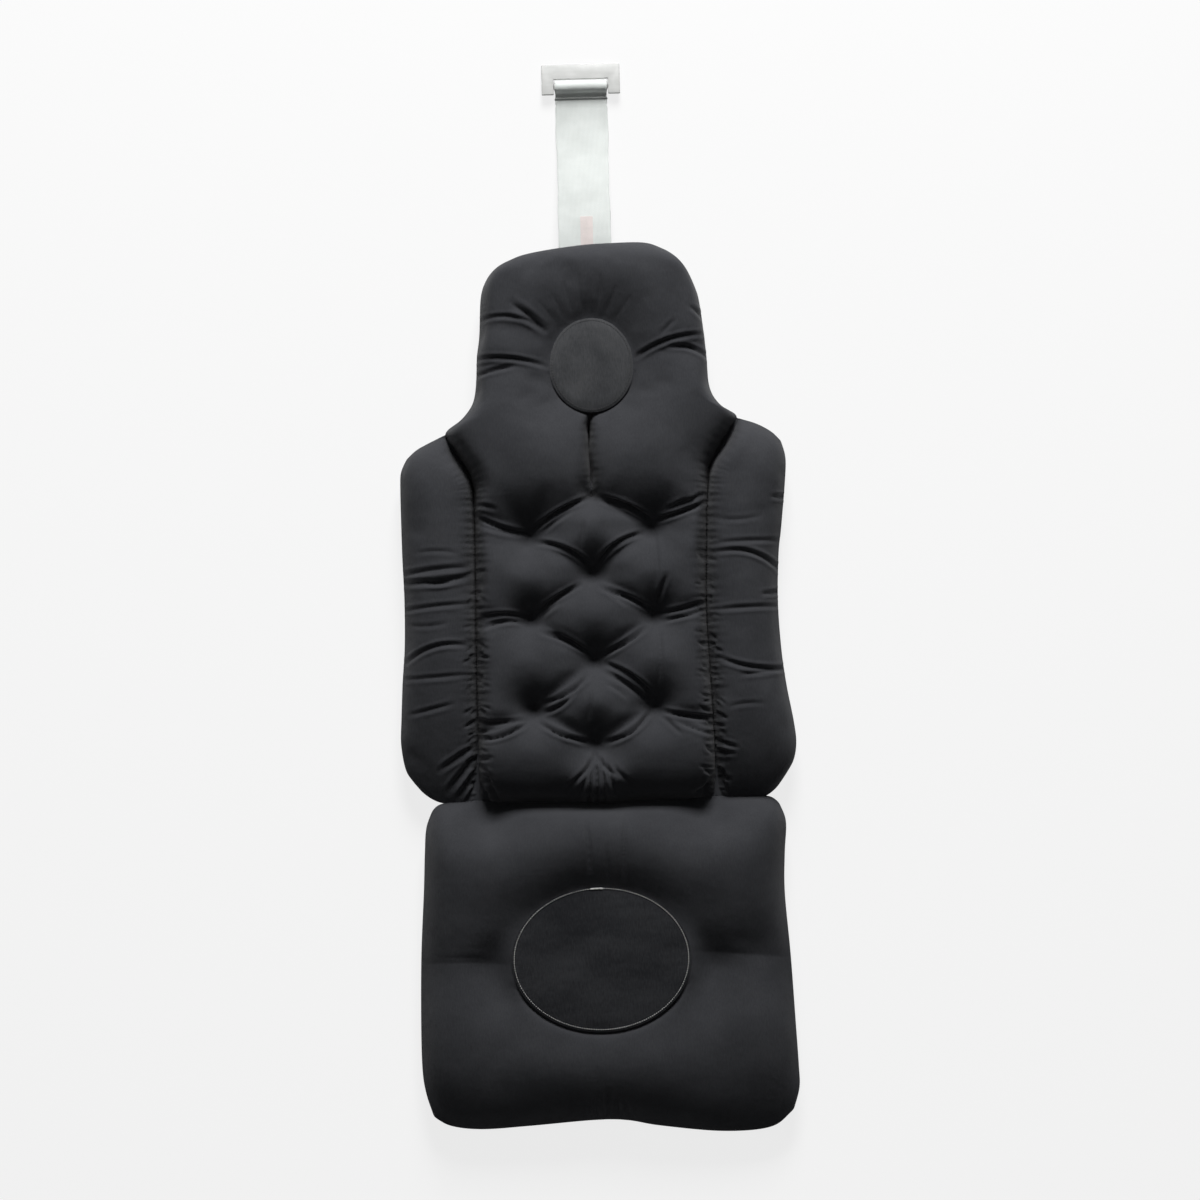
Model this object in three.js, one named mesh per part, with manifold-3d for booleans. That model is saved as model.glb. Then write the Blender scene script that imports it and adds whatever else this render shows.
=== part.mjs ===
// Full-length bath pillow lying on its back: a tufted head and back panel, two side bolsters, a seat
// cushion sewn on along a fold, and a hanging strap that ends in a slotted hook plate.
// Millimetres. +X is to the right, +Y towards the head and +Z out of the padded front. Heights along Y
// are measured from the fold between the back and the seat, and Z from the rear faces.
import * as THREE from 'three';
import { mergeVertices } from 'three/addons/utils/BufferGeometryUtils.js';
import Module from 'manifold-3d';

const wasm = await Module();
wasm.setup();

// Cloth and seams.
const CLOTH = 1.5;
const CLEARANCE = 0.3;
const SEAM_HEIGHT = 22;
const WELT = 2.4;
const THREAD_RADIUS = 0.6;
const EDGE_INSET = 6;
const FILL_EASE = 6;
const PANEL_ROW_STEP = 21;
const CUSHION_ROW_STEP = 20;

// Steepest slopes in degrees beside the folds, so that folded cushions only touch.
const SEAT_FOLD_SLOPE = 55;
const BOLSTER_FOLD_SLOPE = 74;
const FOOT_SLOPE = 40;
const FOOT_EASE = 30;

// How high the covers stand along the bolster seams, and how soon that fades at the seams' ends.
const SEAM_LIFT = 20;
const LIFT_FADE = 60;

// Head and back panel: heights above the fold and half widths.
const HEAD_TOP = 535;
const HEAD_HALF_WIDTH = 107;
const HEAD_CORNER = 55;
const NECK_HEIGHT = 399;
const NECK_HALF_WIDTH = 111;
const SHOULDER_HEIGHT = 359;
const SHOULDER_HALF_WIDTH = 140;
const SEAM_TOP = 307;
const SEAM_HALF_WIDTH = 111;
const PANEL_CREST = 43;
const PANEL_ROLL = 18;
const PANEL_FOOT_ROLL = 56;
const HEAD_ROLL = 14;
const CHEST_RISE = 9;
const CHEST_HEIGHT = 336;
const CHEST_COLUMN = 55;
const CHEST_REACH = 50;
const NECK_CREASE_HEIGHT = 422;
const NECK_CREASE_DEPTH = 0.11;
const NECK_CREASE_ABOVE = 26;
const NECK_CREASE_BELOW = 66;
const WING_CREASE_DEPTH = 0.4;
const WING_CREASE_REACH = 38;

// Flat round inset of the head, and the crease that runs from it to the first tuft.
const DISC_HEIGHT = 417;
const DISC_HALF_WIDTH = 40.5;
const DISC_HALF_LENGTH = 45;
const DISC_FLOOR = 25;
const DISC_SLOPE = 1.22;
const DISC_CREASE_DEPTH = 0.48;
const DISC_CREASE_REACH = 30;

// Tufts: a middle column of four, and three on either side half a pitch higher.
const TUFT_FIRST = 55;
const TUFT_PITCH = 79;
const TUFT_COLUMN = 58;
const TUFT_DEPTH = 0.72;
const TUFT_REACH = 44;
const CREASE_DEPTH = 0.3;
const CREASE_REACH = 20;
const CHEST_CREASE_DEPTH = 0.5;
const CHEST_CREASE_REACH = 64;
const TIE_RADIUS = 1.2;
const TIE_PROUD = 0.8;

// Side bolsters: half widths of the outer edge at the foot, waist and top.
const BOLSTER_FOOT_HALF_WIDTH = 190;
const BOLSTER_WAIST_HALF_WIDTH = 180;
const BOLSTER_TOP_HALF_WIDTH = 185;
const BOLSTER_FOOT_HEIGHT = 62;
const BOLSTER_WAIST_HEIGHT = 195;
const BOLSTER_SHOULDER_HEIGHT = 312;
const BOLSTER_FOOT_CORNER = 43;
const BOLSTER_FOOT_GAP = 6;
const BOLSTER_TIP_WIDTH = 10;
const BOLSTER_CREST = 35;
const BOLSTER_SEAM_ROLL = 16;
const BOLSTER_SIDE_ROLL = 30;
const BOLSTER_FOOT_ROLL = 142;
const BOLSTER_FOOT_POWER = 1;
const BOLSTER_TOP_ROLL = 44;

// Seat: half widths at the fold and at the hem, and the hem's middle drawn in.
const SEAT_LENGTH = 316;
const SEAT_TOP_HALF_WIDTH = 173;
const SEAT_HEM_HALF_WIDTH = 181;
const SEAT_TOP_CORNER = 22;
const SEAT_HEM_CORNER = 43;
const SEAT_HEM_RISE = 9;
const SEAT_CREST = 44;
const SEAT_ROLL = 34;
const SEAT_HEM_ROLL = 78;
const SEAT_HEM_POWER = 0.75;
const SEAT_TOP_ROLL = 48;
const SEAT_TOP_POWER = 0.7;
const SEAT_HIGH = 46;
const SEAT_PINCH = 154;
const SEAT_LOWER = 0.57;
const SEAT_PUFF = 0.2;
const SEAT_PUFF_LENGTH = 172;
const HOLLOW_DEPTH = 0.85;
const HOLLOW_REACH = 24;
const HOLLOW_STRETCH = 1.3;

// Flat oval inset of the seat.
const OVAL_DROP = 150;
const OVAL_HALF_WIDTH = 86.5;
const OVAL_HALF_LENGTH = 70.5;
const OVAL_FLOOR = 25;
const OVAL_SLOPE = 0.64;
const STITCH_INSET = 3;

// Strap, its loop round the hook plate's bar, and the label sewn on it.
const STRAP = 1.5;
const STRAP_WIDTH = 50;
const STRAP_REACH = 152;
const STRAP_FALL = 130;
const STRAP_TUCK = 0.45;
const BAR_RADIUS = 4;
const TAIL_LENGTH = 4;
const TACK_WIDTH = 44;
const LABEL = 0.5;
const LABEL_WIDTH = 12;
const LABEL_LENGTH = 30;
const LABEL_OFFSET = 5;

// Hook plate.
const PLATE = 3;
const PLATE_LEG = 11.5;
const PLATE_WEB = 14.5;
const PLATE_CORNER = 2;
const LEG_TAIL = 8.2;
const SLOT_PLAY = 1.2;

// Sizes that follow from the ones above.
const RIM = CLOTH + CLEARANCE / 2;
const FOLD_GAP = Math.max(RIM, WELT / Math.SQRT2) + CLEARANCE;
const BEVEL = SEAM_HEIGHT - RIM;
const PANEL_EDGE = SEAM_HALF_WIDTH - FOLD_GAP;
const STRAP_AXIS = HEAD_TOP + STRAP / 2 + CLEARANCE;
const BAR_HEIGHT = STRAP_AXIS + STRAP_REACH;
const LOOP_MIDDLE = BAR_RADIUS + CLEARANCE + STRAP / 2;
const LOOP_OUTER = LOOP_MIDDLE + STRAP / 2;
const PLATE_REACH = LOOP_OUTER + SLOT_PLAY + PLATE_WEB;
const PLATE_TILT = Math.asin(LOOP_OUTER / Math.hypot(PLATE_REACH, PLATE / 2))
  - Math.atan2(PLATE / 2, PLATE_REACH);
const TOP_END = BAR_HEIGHT + PLATE_REACH * Math.cos(PLATE_TILT) + PLATE / 2 * Math.sin(PLATE_TILT);

// Finishes.
const finish = (color, roughness) => new THREE.MeshStandardMaterial({ color, roughness, metalness: 0 });
const BLACK_CLOTH = finish('#2e2e30', 0.85);
const BLACK_THREAD = finish('#1c1c1e', 0.8);
const WHITE_THREAD = finish('#d9d9d6', 0.7);
const WADDING = finish('#eeeeea', 0.95);
const WEBBING = finish('#e4e7e3', 0.8);
const LABEL_CLOTH = finish('#e6cfc7', 0.8);
const GREY_PLASTIC = finish('#cbccc8', 0.45);

// Small functions of one value.
const clamp = (value) => Math.min(Math.max(value, 0), 1);
const lerp = THREE.MathUtils.lerp;
const smooth = (value) => THREE.MathUtils.smoothstep(value, 0, 1);
const bell = (value) => Math.exp(-value * value);
const swell = (value, power = 0.5) => (1 - (1 - clamp(value)) ** 2) ** power;
const valley = (value) => (1 - clamp(value)) ** 2;
const rise = (degrees, distance) => Math.tan(THREE.MathUtils.degToRad(degrees)) * Math.max(distance, 0);

// Sorted positions through every break, no further apart than the step.
function stations(breaks, step) {
  const sorted = [...breaks].sort((a, b) => a - b);
  const ends = sorted.filter((value, i) => i === 0 || value - sorted[i - 1] > 1);
  const out = [ends[0]];
  for (let i = 1; i < ends.length; i += 1) {
    const parts = Math.ceil((ends[i] - ends[i - 1]) / step);
    for (let k = 1; k <= parts; k += 1) {
      out.push(lerp(ends[i - 1], ends[i], k / parts));
    }
  }
  return out;
}

// Positions round a quarter circle, measured from where the corner starts.
function cornerBreaks(start, radius, direction) {
  return [0, 0.5, 0.86, 1].map((share) => start + direction * radius * share);
}

// Seam between the panel and a bolster, as a distance from the middle line.
function seamLine(y) {
  const share = clamp((y - SEAM_TOP) / (SHOULDER_HEIGHT - SEAM_TOP));
  return lerp(SEAM_HALF_WIDTH, SHOULDER_HALF_WIDTH, share);
}

// Half width of the panel: seam, shoulder, neck, head and rounded head corners.
function panelSide(y) {
  const cornerStart = HEAD_TOP - HEAD_CORNER;
  if (y > cornerStart) {
    const rise = Math.min(y - cornerStart, HEAD_CORNER);
    return HEAD_HALF_WIDTH - HEAD_CORNER + Math.sqrt(HEAD_CORNER ** 2 - rise ** 2);
  }
  if (y > NECK_HEIGHT) {
    return lerp(NECK_HALF_WIDTH, HEAD_HALF_WIDTH, smooth((y - NECK_HEIGHT) / (cornerStart - NECK_HEIGHT)));
  }
  if (y > SHOULDER_HEIGHT) {
    const share = clamp((NECK_HEIGHT - y) / (NECK_HEIGHT - SHOULDER_HEIGHT));
    const flare = SHOULDER_HALF_WIDTH - FOLD_GAP - NECK_HALF_WIDTH;
    return NECK_HALF_WIDTH + flare * (1 - Math.sqrt(1 - share ** 2));
  }
  return seamLine(y) - FOLD_GAP;
}

// Outer edge of a bolster: rounded foot, drawn-in waist and sloping shoulder.
function bolsterSide(y) {
  const footTop = BOLSTER_FOOT_GAP + BOLSTER_FOOT_CORNER;
  if (y < footTop) {
    const drop = Math.min(footTop - y, BOLSTER_FOOT_CORNER);
    const corner = Math.sqrt(BOLSTER_FOOT_CORNER ** 2 - drop ** 2);
    return BOLSTER_FOOT_HALF_WIDTH - BOLSTER_FOOT_CORNER + corner;
  }
  if (y < BOLSTER_WAIST_HEIGHT) {
    const share = (y - BOLSTER_FOOT_HEIGHT) / (BOLSTER_WAIST_HEIGHT - BOLSTER_FOOT_HEIGHT);
    return lerp(BOLSTER_FOOT_HALF_WIDTH, BOLSTER_WAIST_HALF_WIDTH, smooth(share));
  }
  if (y < BOLSTER_SHOULDER_HEIGHT) {
    const share = (y - BOLSTER_WAIST_HEIGHT) / (BOLSTER_SHOULDER_HEIGHT - BOLSTER_WAIST_HEIGHT);
    return lerp(BOLSTER_WAIST_HALF_WIDTH, BOLSTER_TOP_HALF_WIDTH, smooth(share));
  }
  const tip = SHOULDER_HALF_WIDTH + FOLD_GAP + BOLSTER_TIP_WIDTH;
  const share = clamp((y - BOLSTER_SHOULDER_HEIGHT) / (SHOULDER_HEIGHT - BOLSTER_SHOULDER_HEIGHT));
  return tip + (BOLSTER_TOP_HALF_WIDTH - tip) * (1 - share ** 1.5) ** (2 / 3);
}

// Half width of the seat at a height below the fold.
function seatSide(y) {
  const topStart = -FOLD_GAP - SEAT_TOP_CORNER;
  const hemStart = -SEAT_LENGTH + SEAT_HEM_CORNER;
  const share = (topStart - y) / (topStart - hemStart);
  const side = lerp(SEAT_TOP_HALF_WIDTH, SEAT_HEM_HALF_WIDTH, smooth(share));
  if (y > topStart) {
    const rise = Math.min(y - topStart, SEAT_TOP_CORNER);
    return side - SEAT_TOP_CORNER + Math.sqrt(SEAT_TOP_CORNER ** 2 - rise ** 2);
  }
  if (y < hemStart) {
    const drop = Math.min(hemStart - y, SEAT_HEM_CORNER);
    return side - SEAT_HEM_CORNER + Math.sqrt(SEAT_HEM_CORNER ** 2 - drop ** 2);
  }
  return side;
}

// Tuft points and the creases between neighbouring tufts and out to the bolster seams.
const TUFTS = [];
for (let row = 0; row < 7; row += 1) {
  const y = TUFT_FIRST + row * TUFT_PITCH / 2;
  const columns = row % 2 === 0 ? [0] : [-TUFT_COLUMN, TUFT_COLUMN];
  columns.forEach((x) => TUFTS.push([x, y]));
}
const DISC_FOOT = DISC_HEIGHT - DISC_HALF_LENGTH;
const TUFT_LAST = TUFT_FIRST + 3 * TUFT_PITCH;
const DISC_CREASE = { depth: DISC_CREASE_DEPTH, above: DISC_CREASE_REACH, below: DISC_CREASE_REACH };
const TUFT_CREASE = { depth: CREASE_DEPTH, above: CREASE_REACH, below: CREASE_REACH };
const CHEST_CREASE = { depth: CHEST_CREASE_DEPTH, above: CHEST_CREASE_REACH, below: CREASE_REACH };
const NECK_CREASE = { depth: NECK_CREASE_DEPTH, above: NECK_CREASE_ABOVE, below: NECK_CREASE_BELOW };
const WING_CREASE = { depth: WING_CREASE_DEPTH, above: WING_CREASE_REACH, below: WING_CREASE_REACH };
const CREASES = [
  { from: [0, TUFT_LAST], to: [0, DISC_FOOT], ...DISC_CREASE },
  { from: [0, 0], to: [0, TUFT_FIRST], ...TUFT_CREASE },
];
for (const [x, y] of TUFTS.filter((tuft) => tuft[0] !== 0)) {
  const upper = y + TUFT_PITCH / 2 === TUFT_LAST ? CHEST_CREASE : TUFT_CREASE;
  CREASES.push({ from: [x, y], to: [0, y + TUFT_PITCH / 2], ...upper });
  CREASES.push({ from: [x, y], to: [0, y - TUFT_PITCH / 2], ...TUFT_CREASE });
  CREASES.push({ from: [x, y], to: [Math.sign(x) * PANEL_EDGE, y], ...upper });
}
for (const side of [-1, 1]) {
  const neck = [side * NECK_HALF_WIDTH, NECK_CREASE_HEIGHT];
  const shoulder = [side * SHOULDER_HALF_WIDTH, SHOULDER_HEIGHT];
  CREASES.push({ from: [side * DISC_HALF_WIDTH, NECK_CREASE_HEIGHT], to: neck, ...NECK_CREASE });
  CREASES.push({ from: [side * SEAM_HALF_WIDTH, SEAM_TOP], to: shoulder, ...WING_CREASE });
}

// Share of the height that is lost beside a crease, which reaches its own way above and below.
function creased(x, y, { from, to, depth, above, below }) {
  const [runX, runY] = [to[0] - from[0], to[1] - from[1]];
  const share = clamp(((x - from[0]) * runX + (y - from[1]) * runY) / (runX ** 2 + runY ** 2));
  const [asideX, asideY] = [x - lerp(from[0], to[0], share), y - lerp(from[1], to[1], share)];
  const gap = Math.hypot(asideX, asideY);
  const upward = gap > 0 ? asideY / gap : 0;
  return depth * valley(gap / lerp(below, above, smooth((1 + upward) / 2)));
}

// A cushion height drawn down to a floor inside an ellipse; the slope is steepest at the ellipse.
function drawnIn(height, floor, ellipse, slope) {
  return Math.min(height, lerp(floor, height, 1 - valley((ellipse - 1) / slope)));
}

// How high a cover stands on the bolster seam, as a share of a crest.
function seamShare(y, crest) {
  return SEAM_LIFT / crest * smooth(y / LIFT_FADE) * smooth((SHOULDER_HEIGHT - y) / LIFT_FADE);
}

// Height of the panel's front over its seam.
function panelHeight(x, y) {
  const inside = panelSide(y) - Math.abs(x);
  let height = PANEL_CREST
    * lerp(seamShare(y, PANEL_CREST), 1, swell(inside / PANEL_ROLL))
    * swell((HEAD_TOP - y) / HEAD_ROLL)
    * swell((y - FOLD_GAP) / PANEL_FOOT_ROLL);
  const chest = Math.hypot(Math.abs(x) - CHEST_COLUMN, y - CHEST_HEIGHT) / CHEST_REACH;
  height *= 1 + CHEST_RISE / PANEL_CREST * bell(chest);
  let drawn = 0;
  for (const [tx, ty] of TUFTS) {
    drawn = Math.max(drawn, TUFT_DEPTH * valley(Math.hypot(x - tx, y - ty) / TUFT_REACH));
  }
  for (const crease of CREASES) {
    drawn = Math.max(drawn, creased(x, y, crease));
  }
  height *= 1 - drawn;
  const ellipse = Math.hypot(x / DISC_HALF_WIDTH, (y - DISC_HEIGHT) / DISC_HALF_LENGTH);
  height = drawnIn(height, DISC_FLOOR, ellipse, DISC_SLOPE);
  const seamLimit = y < SHOULDER_HEIGHT ? rise(BOLSTER_FOLD_SLOPE, inside) : height;
  return Math.min(height, seamLimit, rise(SEAT_FOLD_SLOPE, y - FOLD_GAP));
}

// Height of a bolster's front over its seam.
function bolsterHeight(x, y) {
  const inside = Math.abs(x) - seamLine(y) - FOLD_GAP;
  const height = BOLSTER_CREST
    * lerp(seamShare(y, BOLSTER_CREST), 1, swell(inside / BOLSTER_SEAM_ROLL))
    * swell((bolsterSide(y) - Math.abs(x)) / BOLSTER_SIDE_ROLL)
    * swell((SHOULDER_HEIGHT - y) / BOLSTER_TOP_ROLL)
    * swell((y - BOLSTER_FOOT_GAP) / BOLSTER_FOOT_ROLL, BOLSTER_FOOT_POWER);
  return Math.min(height, rise(BOLSTER_FOLD_SLOPE, inside), rise(FOOT_SLOPE, y - BOLSTER_FOOT_GAP));
}

// Height of the seat's front over its seam; it leaves room for the bolsters' feet beside the panel.
function seatHeight(x, y) {
  const fall = clamp((-SEAT_HIGH - y) / (SEAT_PINCH - SEAT_HIGH)) ** 2;
  const puff = Math.sin(Math.PI * clamp((-SEAT_PINCH - y) / SEAT_PUFF_LENGTH)) ** 1.5;
  const hollow = Math.hypot((Math.abs(x) - SEAM_HALF_WIDTH) / HOLLOW_STRETCH, y) / HOLLOW_REACH;
  const height = SEAT_CREST
    * swell((seatSide(y) - Math.abs(x)) / SEAT_ROLL)
    * swell((y + SEAT_LENGTH) / SEAT_HEM_ROLL, SEAT_HEM_POWER)
    * swell((-FOLD_GAP - y) / SEAT_TOP_ROLL, SEAT_TOP_POWER)
    * (1 - (1 - SEAT_LOWER) * fall + SEAT_PUFF * puff)
    * (1 - HOLLOW_DEPTH * bell(hollow));
  const ellipse = Math.hypot(x / OVAL_HALF_WIDTH, (y + OVAL_DROP) / OVAL_HALF_LENGTH);
  const foot = smooth((Math.abs(x) - PANEL_EDGE) / FOOT_EASE + 1);
  const slope = lerp(SEAT_FOLD_SLOPE, FOOT_SLOPE, foot);
  return Math.min(drawnIn(height, OVAL_FLOOR, ellipse, OVAL_SLOPE), rise(slope, -FOLD_GAP - y));
}

// A closed solid between two heights over rows of [x, y] points; the map moves points in the plane.
function slab(grid, top, bottom, map = (x, y) => [x, y]) {
  const rows = grid.length;
  const columns = grid[0].length;
  const positions = [];
  for (const height of [top, bottom]) {
    for (const [x, y] of grid.flat()) {
      positions.push(...map(x, y), height(x, y));
    }
  }
  const at = (layer, row, column) => (layer * rows + row) * columns + column;
  const faces = [];
  const quad = (a, b, c, d) => faces.push(a, b, c, a, c, d);
  for (let r = 0; r + 1 < rows; r += 1) {
    for (let c = 0; c + 1 < columns; c += 1) {
      quad(at(0, r, c), at(0, r, c + 1), at(0, r + 1, c + 1), at(0, r + 1, c));
      quad(at(1, r, c), at(1, r + 1, c), at(1, r + 1, c + 1), at(1, r, c + 1));
    }
    const last = columns - 1;
    quad(at(0, r, 0), at(0, r + 1, 0), at(1, r + 1, 0), at(1, r, 0));
    quad(at(1, r, last), at(1, r + 1, last), at(0, r + 1, last), at(0, r, last));
  }
  for (let c = 0; c + 1 < columns; c += 1) {
    const last = rows - 1;
    quad(at(1, 0, c), at(1, 0, c + 1), at(0, 0, c + 1), at(0, 0, c));
    quad(at(0, last, c), at(0, last, c + 1), at(1, last, c + 1), at(1, last, c));
  }
  const geometry = new THREE.BufferGeometry();
  geometry.setAttribute('position', new THREE.Float32BufferAttribute(positions, 3));
  geometry.setIndex(faces);
  return geometry;
}

// Rows of points between two edges, at shares of the width.
function gridBetween(rows, left, right, shares) {
  return rows.map((y) => shares.map((share) => [lerp(left(y), right(y), share), y]));
}

// Rows of points for a rear face: both edges and both inner ends of the bevel.
function rearGrid(rows, left, right) {
  return rows.map((y) => {
    const inset = Math.min(BEVEL, 0.4 * (right(y) - left(y)));
    return [left(y), left(y) + inset, right(y) - inset, right(y)].map((x) => [x, y]);
  });
}

// The same grid without its outermost points.
const inner = (grid) => grid.slice(1, -1).map((row) => row.slice(1, -1));

// Front cover, rear cover and fill of one cushion, on one set of rows.
function cushion({ rows, left, right, shares, height, map }) {
  const [bottom, top] = [rows[0], rows[rows.length - 1]];
  const depth = (x, y, ease) => BEVEL
    * clamp((x - left(y) - ease) / BEVEL) * clamp((right(y) - x - ease) / BEVEL)
    * clamp((y - bottom - ease) / BEVEL) * clamp((top - y - ease) / BEVEL);
  const frontInside = (x, y) => SEAM_HEIGHT + CLEARANCE / 2 + height(x, y);
  const rearInside = (x, y) => SEAM_HEIGHT - CLEARANCE / 2 - depth(x, y, 0);
  const fillFoot = (x, y) => SEAM_HEIGHT + CLEARANCE / 2 - depth(x, y, FILL_EASE);
  const grid = gridBetween(rows, left, right, shares);
  return {
    front: slab(grid, (x, y) => frontInside(x, y) + CLOTH, frontInside, map),
    rear: slab(rearGrid(rows, left, right), rearInside, (x, y) => rearInside(x, y) - CLOTH, map),
    fill: slab(inner(grid), (x, y) => frontInside(x, y) - CLEARANCE, fillFoot, map),
  };
}

// Height of a cover's outer face for a height over the seam.
const outerFace = (height) => SEAM_HEIGHT + RIM + height;

// Closed solids joined or cut by one another.
function toSolid(geometry) {
  const bare = new THREE.BufferGeometry();
  bare.setAttribute('position', geometry.getAttribute('position'));
  bare.setIndex(geometry.getIndex());
  const merged = mergeVertices(bare, 1e-4);
  const mesh = new wasm.Mesh({
    numProp: 3,
    vertProperties: new Float32Array(merged.getAttribute('position').array),
    triVerts: new Uint32Array(merged.getIndex().array),
  });
  return new wasm.Manifold(mesh);
}

function toGeometry(solid) {
  const mesh = solid.getMesh();
  const geometry = new THREE.BufferGeometry();
  geometry.setAttribute('position', new THREE.Float32BufferAttribute(mesh.vertProperties, 3));
  geometry.setIndex([...mesh.triVerts]);
  return geometry;
}

function cut(geometry, tools) {
  return toGeometry(tools.reduce((solid, tool) => solid.subtract(toSolid(tool)), toSolid(geometry)));
}

// An upright round rod between two heights.
function rod(x, y, from, to, radius) {
  return new THREE.CylinderGeometry(radius, radius, to - from, 6)
    .rotateX(Math.PI / 2)
    .translate(x, y, (from + to) / 2);
}

// An upright elliptical prism, for a flat inset and for the hole that it is sewn into.
function ellipsePrism(y, halfWidth, halfLength, base, depth) {
  const shape = new THREE.Shape();
  shape.absellipse(0, 0, halfWidth, halfLength, 0, 2 * Math.PI);
  return new THREE.ExtrudeGeometry(shape, { depth, bevelEnabled: false, curveSegments: 20 })
    .translate(0, y, base);
}

// A flat inset at a floor over the seam, and the rooms that it takes in a cover and in a fill.
function inset(y, halfWidth, halfLength, floor, crest) {
  const base = SEAM_HEIGHT + CLEARANCE / 2 + floor;
  const room = (from) => ellipsePrism(y, halfWidth + CLEARANCE, halfLength + CLEARANCE, from, crest);
  return {
    patch: ellipsePrism(y, halfWidth, halfLength, base, CLOTH),
    hole: room(SEAM_HEIGHT),
    pocket: room(base - CLEARANCE),
    stitching: threadRing(y, halfWidth - STITCH_INSET, halfLength - STITCH_INSET, base + CLOTH + CLEARANCE),
  };
}

// A ring of thread laid round on a height.
function threadRing(y, halfWidth, halfLength, base) {
  return new THREE.TorusGeometry(halfWidth, THREAD_RADIUS, 4, 36)
    .scale(1, halfLength / halfWidth, 1)
    .translate(0, y, base + THREAD_RADIUS);
}

// Points moved sideways from a line of [y, z] points.
function offsetLine(line, distance) {
  return line.map((point, i) => {
    const before = line[Math.max(i - 1, 0)];
    const after = line[Math.min(i + 1, line.length - 1)];
    const along = after.clone().sub(before).normalize();
    return new THREE.Vector2(point.x - along.y * distance, point.y + along.x * distance);
  });
}

// A flat band of cloth along a line in the YZ plane.
function ribbon(line, thickness, width) {
  const outline = [...offsetLine(line, -thickness / 2), ...offsetLine(line, thickness / 2).reverse()];
  const turn = new THREE.Matrix4().makeBasis(
    new THREE.Vector3(0, 1, 0),
    new THREE.Vector3(0, 0, 1),
    new THREE.Vector3(1, 0, 0),
  );
  return new THREE.ExtrudeGeometry(new THREE.Shape(outline), { depth: width, bevelEnabled: false })
    .applyMatrix4(turn)
    .translate(-width / 2, 0, 0);
}

// The strap's line falls from the head seam to the floor.
function strapFall(distance) {
  const height = lerp(SEAM_HEIGHT, STRAP / 2, smooth(distance / STRAP_FALL));
  return new THREE.Vector2(STRAP_AXIS + distance, height);
}

// The whole line of the strap: from just behind its fold down to the floor, round the bar and back on
// top of itself.
function strapLine() {
  const line = stations([-STRAP_TUCK, STRAP_FALL], 6).map(strapFall);
  for (let degrees = -90; degrees <= 165; degrees += 15) {
    const angle = THREE.MathUtils.degToRad(degrees);
    line.push(new THREE.Vector2(
      BAR_HEIGHT + LOOP_MIDDLE * Math.cos(angle),
      LOOP_OUTER + LOOP_MIDDLE * Math.sin(angle),
    ));
  }
  const start = line[line.length - 1];
  const floor = 1.5 * STRAP + CLEARANCE;
  const steepness = Math.tan(THREE.MathUtils.degToRad(75));
  const knee = new THREE.Vector2(start.x + (floor - start.y) / steepness, floor);
  const flat = new THREE.Vector2(knee.x - 2 * STRAP, floor);
  line.push(...new THREE.QuadraticBezierCurve(start, knee, flat).getPoints(4).slice(1));
  line.push(new THREE.Vector2(flat.x - TAIL_LENGTH, floor));
  return line;
}

const pillow = new THREE.Group();
pillow.name = 'bath_pillow';
const group = (name, parent = pillow) => {
  const made = new THREE.Group();
  made.name = name;
  parent.add(made);
  return made;
};
const add = (parent, name, geometry, material) => {
  const mesh = new THREE.Mesh(geometry, material);
  mesh.name = name;
  parent.add(mesh);
};

// Head and back panel, pierced by the tuft ties.
const back = group('back');
const tuftShare = TUFT_COLUMN / PANEL_EDGE;
const halfShares = [
  tuftShare / 3, tuftShare * 2 / 3, tuftShare,
  lerp(tuftShare, 1, 0.4), lerp(tuftShare, 1, 0.72), 1 - EDGE_INSET / PANEL_EDGE, 1,
];
const panelShares = [...halfShares.map((share) => -share).reverse(), 0, ...halfShares]
  .map((share) => (share + 1) / 2);
const panelRows = stations([
  FOLD_GAP, FOLD_GAP + EDGE_INSET, ...TUFTS.map((tuft) => tuft[1]), SEAM_TOP, SHOULDER_HEIGHT,
  NECK_HEIGHT, ...cornerBreaks(HEAD_TOP - HEAD_CORNER, HEAD_CORNER, 1),
], PANEL_ROW_STEP);
const panel = cushion({
  rows: panelRows,
  left: (y) => -panelSide(y),
  right: panelSide,
  shares: panelShares,
  height: panelHeight,
});
const tieTop = ([x, y]) => outerFace(panelHeight(x, y)) + TIE_PROUD;
const tieHole = ([x, y]) => rod(x, y, -CLOTH, outerFace(PANEL_CREST), TIE_RADIUS + CLEARANCE);
const tieHoles = TUFTS.map(tieHole);
const disc = inset(DISC_HEIGHT, DISC_HALF_WIDTH, DISC_HALF_LENGTH, DISC_FLOOR, PANEL_CREST);
add(back, 'back_front_cover', cut(panel.front, [...tieHoles, disc.hole]), BLACK_CLOTH);
add(back, 'back_rear_cover', panel.rear, BLACK_CLOTH);
add(back, 'back_fill', cut(panel.fill, [...tieHoles, disc.pocket]), WADDING);
TUFTS.forEach((tuft, i) => {
  const tie = rod(tuft[0], tuft[1], CLOTH + CLEARANCE, tieTop(tuft), TIE_RADIUS);
  add(back, `tuft_tie_${String(i + 1).padStart(2, '0')}`, tie, BLACK_THREAD);
});
add(back, 'head_disc', disc.patch, BLACK_CLOTH);
add(back, 'head_disc_stitching', disc.stitching, BLACK_THREAD);

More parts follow.
